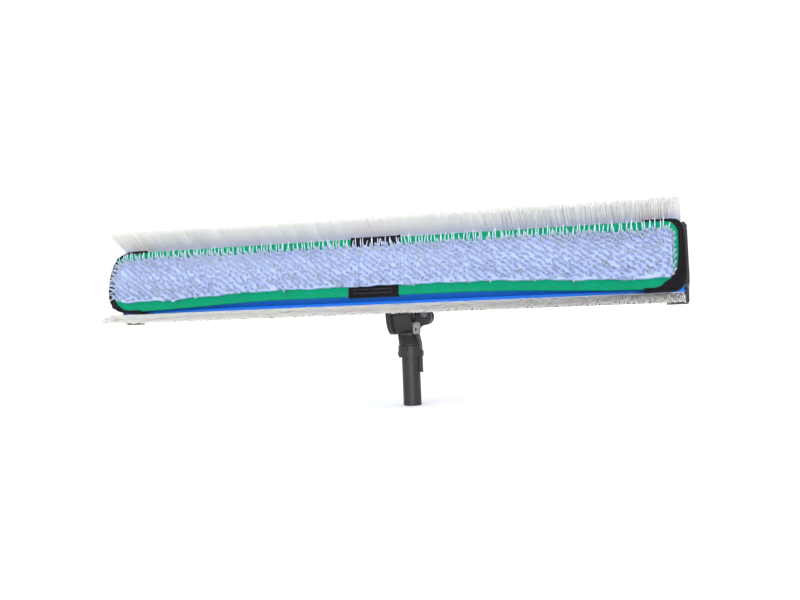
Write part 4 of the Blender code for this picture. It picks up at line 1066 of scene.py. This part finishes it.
@dataclass
class CentreBand:
    """The black elastic band round the pad's middle, with a bare woven patch on its near edge."""

    pad: WashPad
    fabric: float = 1.2 * MM
    corner: float = 2.4 * MM
    hem: float = 3 * MM
    patch_inset: float = 1.6 * MM
    patch_edge: float = 1.3 * MM
    patch_crown: float = 0.1 * MM
    bead: float = 0.35  # how far the hem's bead stands out, against the fabric
    stitch: float = 2.2 * MM
    thread: float = 0.28 * MM
    stitch_rise: float = 0.05 * MM

    def loop(self, x: float, grow: float) -> list[tuple[float, float, float]]:
        """The band's section at one place.

        Args:
            x: The place along the brush.
            grow: How far outside the pad the section runs.

        Returns:
            Points round the pad.
        """
        near, far = float(self.pad.near_edge(x)) - grow, self.pad.half_width + grow
        low, high = -self.pad.thick - grow, grow
        points = []
        for y, z, start in ((far, high, 90), (far, low, 0), (near, low, -90), (near, high, -180)):
            middle_y = y - np.sign(y) * self.corner
            middle_z = z - self.corner if z == high else z + self.corner
            for a in np.radians(np.linspace(start, start - 90, 5)):
                points.append((x, middle_y + self.corner * np.cos(a), middle_z + self.corner * np.sin(a)))
        return points

    def build(self) -> None:
        """The band as a closed shell with hems, and its patch."""
        space, finishes = self.pad.space, self.pad.finishes
        half = float(space.box("centre_band")[1][0])
        hem = self.hem * np.array([0, 0.15, 0.5, 0.85, 1])
        plain = np.linspace(-half + self.hem, half - self.hem, 18)[1:-1]
        stations = np.concatenate([-half + hem, plain, half - hem[::-1]])
        bead = np.array([0.3, 0.9, 1.3, 0.9, 0.0])
        beads = np.concatenate([bead, np.zeros(len(plain)), bead[::-1]]) * self.fabric * self.bead
        outside = np.array([self.loop(x, GAP + self.fabric + b) for x, b in zip(stations, beads)])
        inside = np.array([self.loop(x, GAP) for x in stations])
        shell = np.concatenate([outside, inside[::-1]])
        count, size, _ = shell.shape
        start = np.arange(count)[:, None] * size
        step, after = np.arange(size), (start + size) % (count * size)
        turned = (step + 1) % size
        quads = np.stack([start + step, start + turned, after + turned, after + step], -1)
        mesh = bpy.data.meshes.new("band")
        mesh.from_pydata(shell.reshape(-1, 3).tolist(), [], quads.reshape(-1, 4).tolist())
        mesh.shade_smooth()
        band = space.add(
            "centre_band_cloth", mesh, finishes.elastic, "black_elastic_fabric", ("centre_band",)
        )
        self.build_patch()

    def build_patch(self) -> None:
        """A bare woven patch with a plain stitched border."""
        space, finishes = self.pad.space, self.pad.finishes
        (left, low_y, base), (right, high_y, top) = np.array(space.box("label_patch")).tolist()
        near = float(self.pad.near_edge(0.0)) + self.patch_inset
        far = near + (high_y - low_y)
        ends = np.array([0, 0.15]) * MM
        inner = np.linspace(left + 1 * MM, right - 1 * MM, 20)
        cross = (0.2, 0.4, 0.6, 0.8)
        rings = []
        for x in np.concatenate([left + ends, inner, right - ends[::-1]]):
            at_end = not left + 0.1 * MM < x < right - 0.1 * MM
            soft, rise = (0.1 * MM, top - 0.25 * MM) if at_end else (0.25 * MM, top)
            rings.append([
                (x, near, base), (x, near, rise - soft), (x, near + soft, rise),
                *[(x, near + (far - near) * c, rise + self.patch_crown * np.sin(pi * c)) for c in cross],
                (x, far - soft, rise), (x, far, rise - soft), (x, far, base),
            ])
        mesh = lofted(np.array(rings)[:, ::-1])
        space.add("label_patch_cloth", mesh, finishes.elastic, "black_elastic_fabric", ("label_patch",))
        inset = self.patch_edge
        x0, x1, y0, y1 = left + inset, right - inset, near + inset, far - inset
        corners = [(x0, y0), (x1, y0), (x1, y1), (x0, y1), (x0, y0)]
        path = []
        for (x, y), (next_x, next_y) in zip(corners, corners[1:]):
            steps = np.linspace(0, 1, 40)[:-1]
            path += [(x + (next_x - x) * s, y + (next_y - y) * s, top + self.stitch_rise) for s in steps]
        mesh = stitched(np.array(path), self.stitch, self.thread)
        space.add("label_patch_stitches", mesh, finishes.grey_thread, "black_elastic_fabric")


@dataclass
class HookTapes:
    """The two lengths of hook tape that hold the pad to the body."""

    pad: WashPad
    soft: float = 0.5 * MM
    bulge: float = 0.2 * MM

    def build(self, end: End) -> None:
        """One tape with soft edges.

        Args:
            end: Which of the two it is.
        """
        name = f"hook_tape_{end.name.lower()}"
        low, high = self.pad.space.box(name)
        rings = []
        for x in np.linspace(low[0], high[0], 60):
            inset = self.soft if x in (low[0], high[0]) else 0.0
            y0, y1, z0, z1 = low[1] + inset, high[1] - inset, low[2], high[2] - inset / 2
            bulge, level = self.bulge - inset, (z0 + z1) / 2
            rings.append([
                (x, y0, z0), (x, y0 - bulge, level), (x, y0 + self.soft, z1), (x, (y0 + y1) / 2, z1),
                (x, y1 - self.soft, z1), (x, y1 + bulge, level), (x, y1, z0),
            ])
        mesh = lofted(np.array(rings)[:, ::-1])
        self.pad.space.add(name + "_web", mesh, self.pad.finishes.elastic, "black_elastic_fabric", (name,))


@dataclass
class BristleRow:
    """A row of nylon filaments splayed out of its channel, with the backing strip that holds their roots."""

    space: HeadSpace
    finishes: Finishes
    side: Side
    fan: float  # how far the innermost filaments stand from the outermost
    splay: float = radians(24)
    root_across: float = 42 * MM
    root_level: float = -40 * MM
    trim_level: float = 14 * MM  # the tips are trimmed to this height over the pad's face
    trim_rise: float = 2.5 * MM  # and stand this much higher at the left end
    root_depth: float = 4 * MM
    filaments: int = 7200
    filament_radius: float = 0.32 * MM
    ranks: float = 1.3 * MM
    clump_pitch: float = 5.5 * MM
    clump_pull: float = 0.08
    uneven: float = 0.9 * MM
    left_fan: float = 6.5 * MM  # how far the tips at the left end lean out
    left_fan_over: float = 70 * MM
    backing_half: float = 2.1 * MM
    backing_floor: float = -7.4 * MM
    backing_top: float = -3.2 * MM
    backing_soft: float = 0.4 * MM

    def place(self, x: np.ndarray, across: np.ndarray, up: np.ndarray) -> np.ndarray:
        """Places in the channel's own directions, turned into the head's space.

        Args:
            x: Along the brush.
            across: Across the channel's mouth.
            up: Out of the channel, along the splay.

        Returns:
            The points as an array whose last axis is xyz.
        """
        sin_splay, cos_splay = np.sin(self.splay), np.cos(self.splay)
        y = self.side.value * (self.root_across + across * cos_splay + up * sin_splay)
        z = self.root_level - across * sin_splay + up * cos_splay
        return np.stack(np.broadcast_arrays(x, y, z), -1)

    def build_filaments(self, name: str, half: float) -> None:
        """The filaments, from their roots in the channel to their trimmed tips.

        Args:
            name: The CAD node that they stand for.
            half: Half of the row's length.
        """
        chance = np.random.default_rng(SEED + 20 + self.side.value)
        count = self.filaments
        x = np.linspace(-half, half, count) + chance.uniform(-0.15, 0.15, count) * MM
        inward = chance.uniform(0, 1, count) ** 1.4
        across = self.ranks * (1 - 2 * inward) * 0.7 + chance.uniform(-0.3, 0.3, count) * self.ranks
        clump = np.round(x / self.clump_pitch + 0.4 * np.sin(x / (17 * MM)))
        number = (clump - clump.min()).astype(int)
        drift = chance.normal(0, 0.16, number.max() + 1)[number] * MM
        sway = self.clump_pull * (clump * self.clump_pitch - x) + drift + chance.normal(0, 0.3, count) * MM
        sway -= self.left_fan * smooth_step(-x, half - self.left_fan_over, half)
        sway = np.minimum(x + sway, half + 1 * MM) - x
        turn = -self.fan * inward + chance.normal(0, 0.008, count)
        trim = self.trim_level + self.trim_rise * smooth_step(-x, 0.4 * half, half)
        height = (trim - self.root_level) / np.cos(self.splay + turn)
        height -= self.uneven * chance.uniform(0, 1, count) ** 2
        shares = np.array([0, 0.4, 0.75, 1])
        bend = np.tan(turn)[:, None] * height[:, None] * shares[None, :] ** 1.1
        up = np.concatenate([np.full((count, 1), -self.root_depth), height[:, None] * shares[None, :]], 1)
        paths = self.place(
            x[:, None] + sway[:, None] * np.array([0, 0, 0.25, 0.65, 1])[None, :],
            np.concatenate([across[:, None] * 0.5, across[:, None] + bend], 1),
            up * np.cos(turn)[:, None],
        )
        tone = np.clip(chance.normal(0.6, 0.25, count) + drift / (1 * MM), 0, 1)
        mesh = strands(paths, self.filament_radius * np.array([1, 1, 1, 0.95, 0.8]), tone)
        self.space.add(name + "_filaments", mesh, self.finishes.filament, "pale_nylon_bristle", (name,))

    def build(self) -> None:
        """The filaments and their backing."""
        name = f"{self.side.name.lower()}_bristles"
        half = float(self.space.box(name)[1][0]) - 1 * MM
        self.build_filaments(name, half)
        wide, floor, top, soft = self.backing_half, self.backing_floor, self.backing_top, self.backing_soft
        profile = np.array([
            (-wide, floor), (wide, floor), (wide, top - soft),
            (wide - soft, top), (soft - wide, top), (-wide, top - soft),
        ])
        rings = np.array([
            self.place(np.full(len(profile), station), profile[:, 0], profile[:, 1])
            for station in np.linspace(-half, half, 40)
        ])
        mesh = lofted(rings[:, :: -self.side.value])
        self.space.add(name + "_backing", mesh, self.finishes.filament, "pale_nylon_bristle")


@dataclass
class RigidParts:
    """The rigid CAD nodes, which stay as they are and get their finishes."""

    finishes: Finishes

    def dress(self) -> None:
        """Gives each shown node its material."""
        finishes, nodes = self.finishes, frame["nodes"]
        moulded = (
            "end_cap_left", "end_cap_right", "bracket", "knuckle", "spigot_tube", "tube_plug", "cam_lever",
        )
        plated = ("near_strip", "far_strip", "rivet", "pivot_bolt", "thrust_plate")
        dressed = {
            "brush_block": finishes.blue_coat,
            "friction_disc": finishes.fibre,
            **dict.fromkeys(moulded, finishes.nylon),
            **dict.fromkeys(plated, finishes.steel),
            "cam_pin": finishes.dark_steel,
            **{name: finishes.steel for name in nodes if "screw" in name},
        }
        for name, material in dressed.items():
            for slot in nodes[name].material_slots:
                slot.material = material
            LOG.info("%s: %s", name, material.name)


# Studio


@dataclass
class Studio:
    """A white floor, a bright even surround, two soft lights, and the camera."""

    floor_half: float = 60.0
    floor_colour: str = "#FDFDFD"
    floor_drop: float = 0.2 * MM
    surround: float = 1.13
    key_spread: float = radians(50)
    key_strength: float = 0.9
    key_direction: tuple[float, float, float] = (0.45, 0.8, -0.75)
    front_spread: float = radians(14)
    front_strength: float = 2.75
    front_direction: tuple[float, float, float] = (-0.25, 0.96, -0.02)
    camera_place: tuple[float, float, float] = (0.3205, -1.2106, 0.1428)
    camera_right: tuple[float, float, float] = (0.9634, 0.2647, -0.0417)
    camera_up: tuple[float, float, float] = (0.0408, 0.0089, 0.9991)
    lens: float = 40.725
    sensor: float = 36.0

    def build_floor(self) -> None:
        """A broad matt sheet just under the spigot's end."""
        card = bpy.data.materials.new("matt_white_card")
        card.use_nodes = True
        shader = card.node_tree.nodes["Principled BSDF"]
        shader.inputs["Base Color"].default_value = linear(self.floor_colour)
        shader.inputs["Roughness"].default_value = 1.0
        shader.inputs["Specular IOR Level"].default_value = 0.0
        reach = self.floor_half
        mesh = bpy.data.meshes.new("floor")
        corners = [(-reach, -reach), (reach, -reach), (reach, reach), (-reach, reach)]
        mesh.from_pydata([(x, y, -self.floor_drop) for x, y in corners], [], [(0, 1, 2, 3)])
        mesh.materials.append(card)
        floor = bpy.data.objects.new("studio_floor", mesh)
        bpy.context.scene.collection.objects.link(floor)

    def build_light(self) -> None:
        """The even white surround, the key light from the upper left and a low one from the front."""
        world = bpy.data.worlds.new("white_surround")
        world.use_nodes = True
        background = world.node_tree.nodes["Background"]
        background.inputs["Color"].default_value = (1, 1, 1, 1)
        background.inputs["Strength"].default_value = self.surround
        bpy.context.scene.world = world
        lights = {
            "soft_key": (self.key_strength, self.key_spread, self.key_direction),
            "soft_front": (self.front_strength, self.front_spread, self.front_direction),
        }
        for name, (strength, spread, direction) in lights.items():
            light = bpy.data.lights.new(name, "SUN")
            light.energy = strength
            light.angle = spread
            lamp = bpy.data.objects.new(name, light)
            lamp.rotation_euler = Vector(direction).to_track_quat("-Z", "Y").to_euler()
            bpy.context.scene.collection.objects.link(lamp)

    def build_camera(self) -> None:
        """The camera, at the photograph's place and angle."""
        lens = bpy.data.cameras.new("camera")
        lens.lens = self.lens
        lens.sensor_width = self.sensor
        lens.clip_end = 4 * self.floor_half
        right = Vector(self.camera_right).normalized()
        back = right.cross(Vector(self.camera_up)).normalized()
        up = back.cross(right)
        turn = Matrix((right, up, back)).transposed().to_4x4()
        camera = bpy.data.objects.new("camera", lens)
        camera.matrix_world = Matrix.Translation(self.camera_place) @ turn
        bpy.context.scene.collection.objects.link(camera)
        bpy.context.scene.camera = camera

    def build(self) -> None:
        """Builds the studio, with plain colours that aren't graded."""
        bpy.context.scene.view_settings.view_transform = "Standard"
        self.build_floor()
        self.build_light()
        self.build_camera()


def main() -> None:
    """Builds the studio and the pieces, in order."""
    logging.basicConfig(level=logging.INFO, format="%(name)s: %(message)s")
    space = HeadSpace()
    finishes = Finishes.build(space)
    Studio().build()
    RigidParts(finishes).dress()
    pad = WashPad(space, finishes)
    pad.build()
    right_outline = EndShape(365 * MM, 389.3 * MM, -5 * MM, 5.0)
    EndPocket(pad, End.LEFT, pad.left_shape, rim_x=386 * MM, rim_y=39 * MM, near_middle=-20 * MM).build()
    EndPocket(pad, End.RIGHT, right_outline, rim_x=383.5 * MM, rim_y=40.7 * MM, near_middle=-4 * MM).build()
    for end in End:
        HookTapes(pad).build(end)
    CentreBand(pad).build()
    BristleRow(space, finishes, Side.NEAR, fan=radians(9)).build()
    BristleRow(space, finishes, Side.FAR, fan=radians(5)).build()


if __name__ == "__main__":
    main()
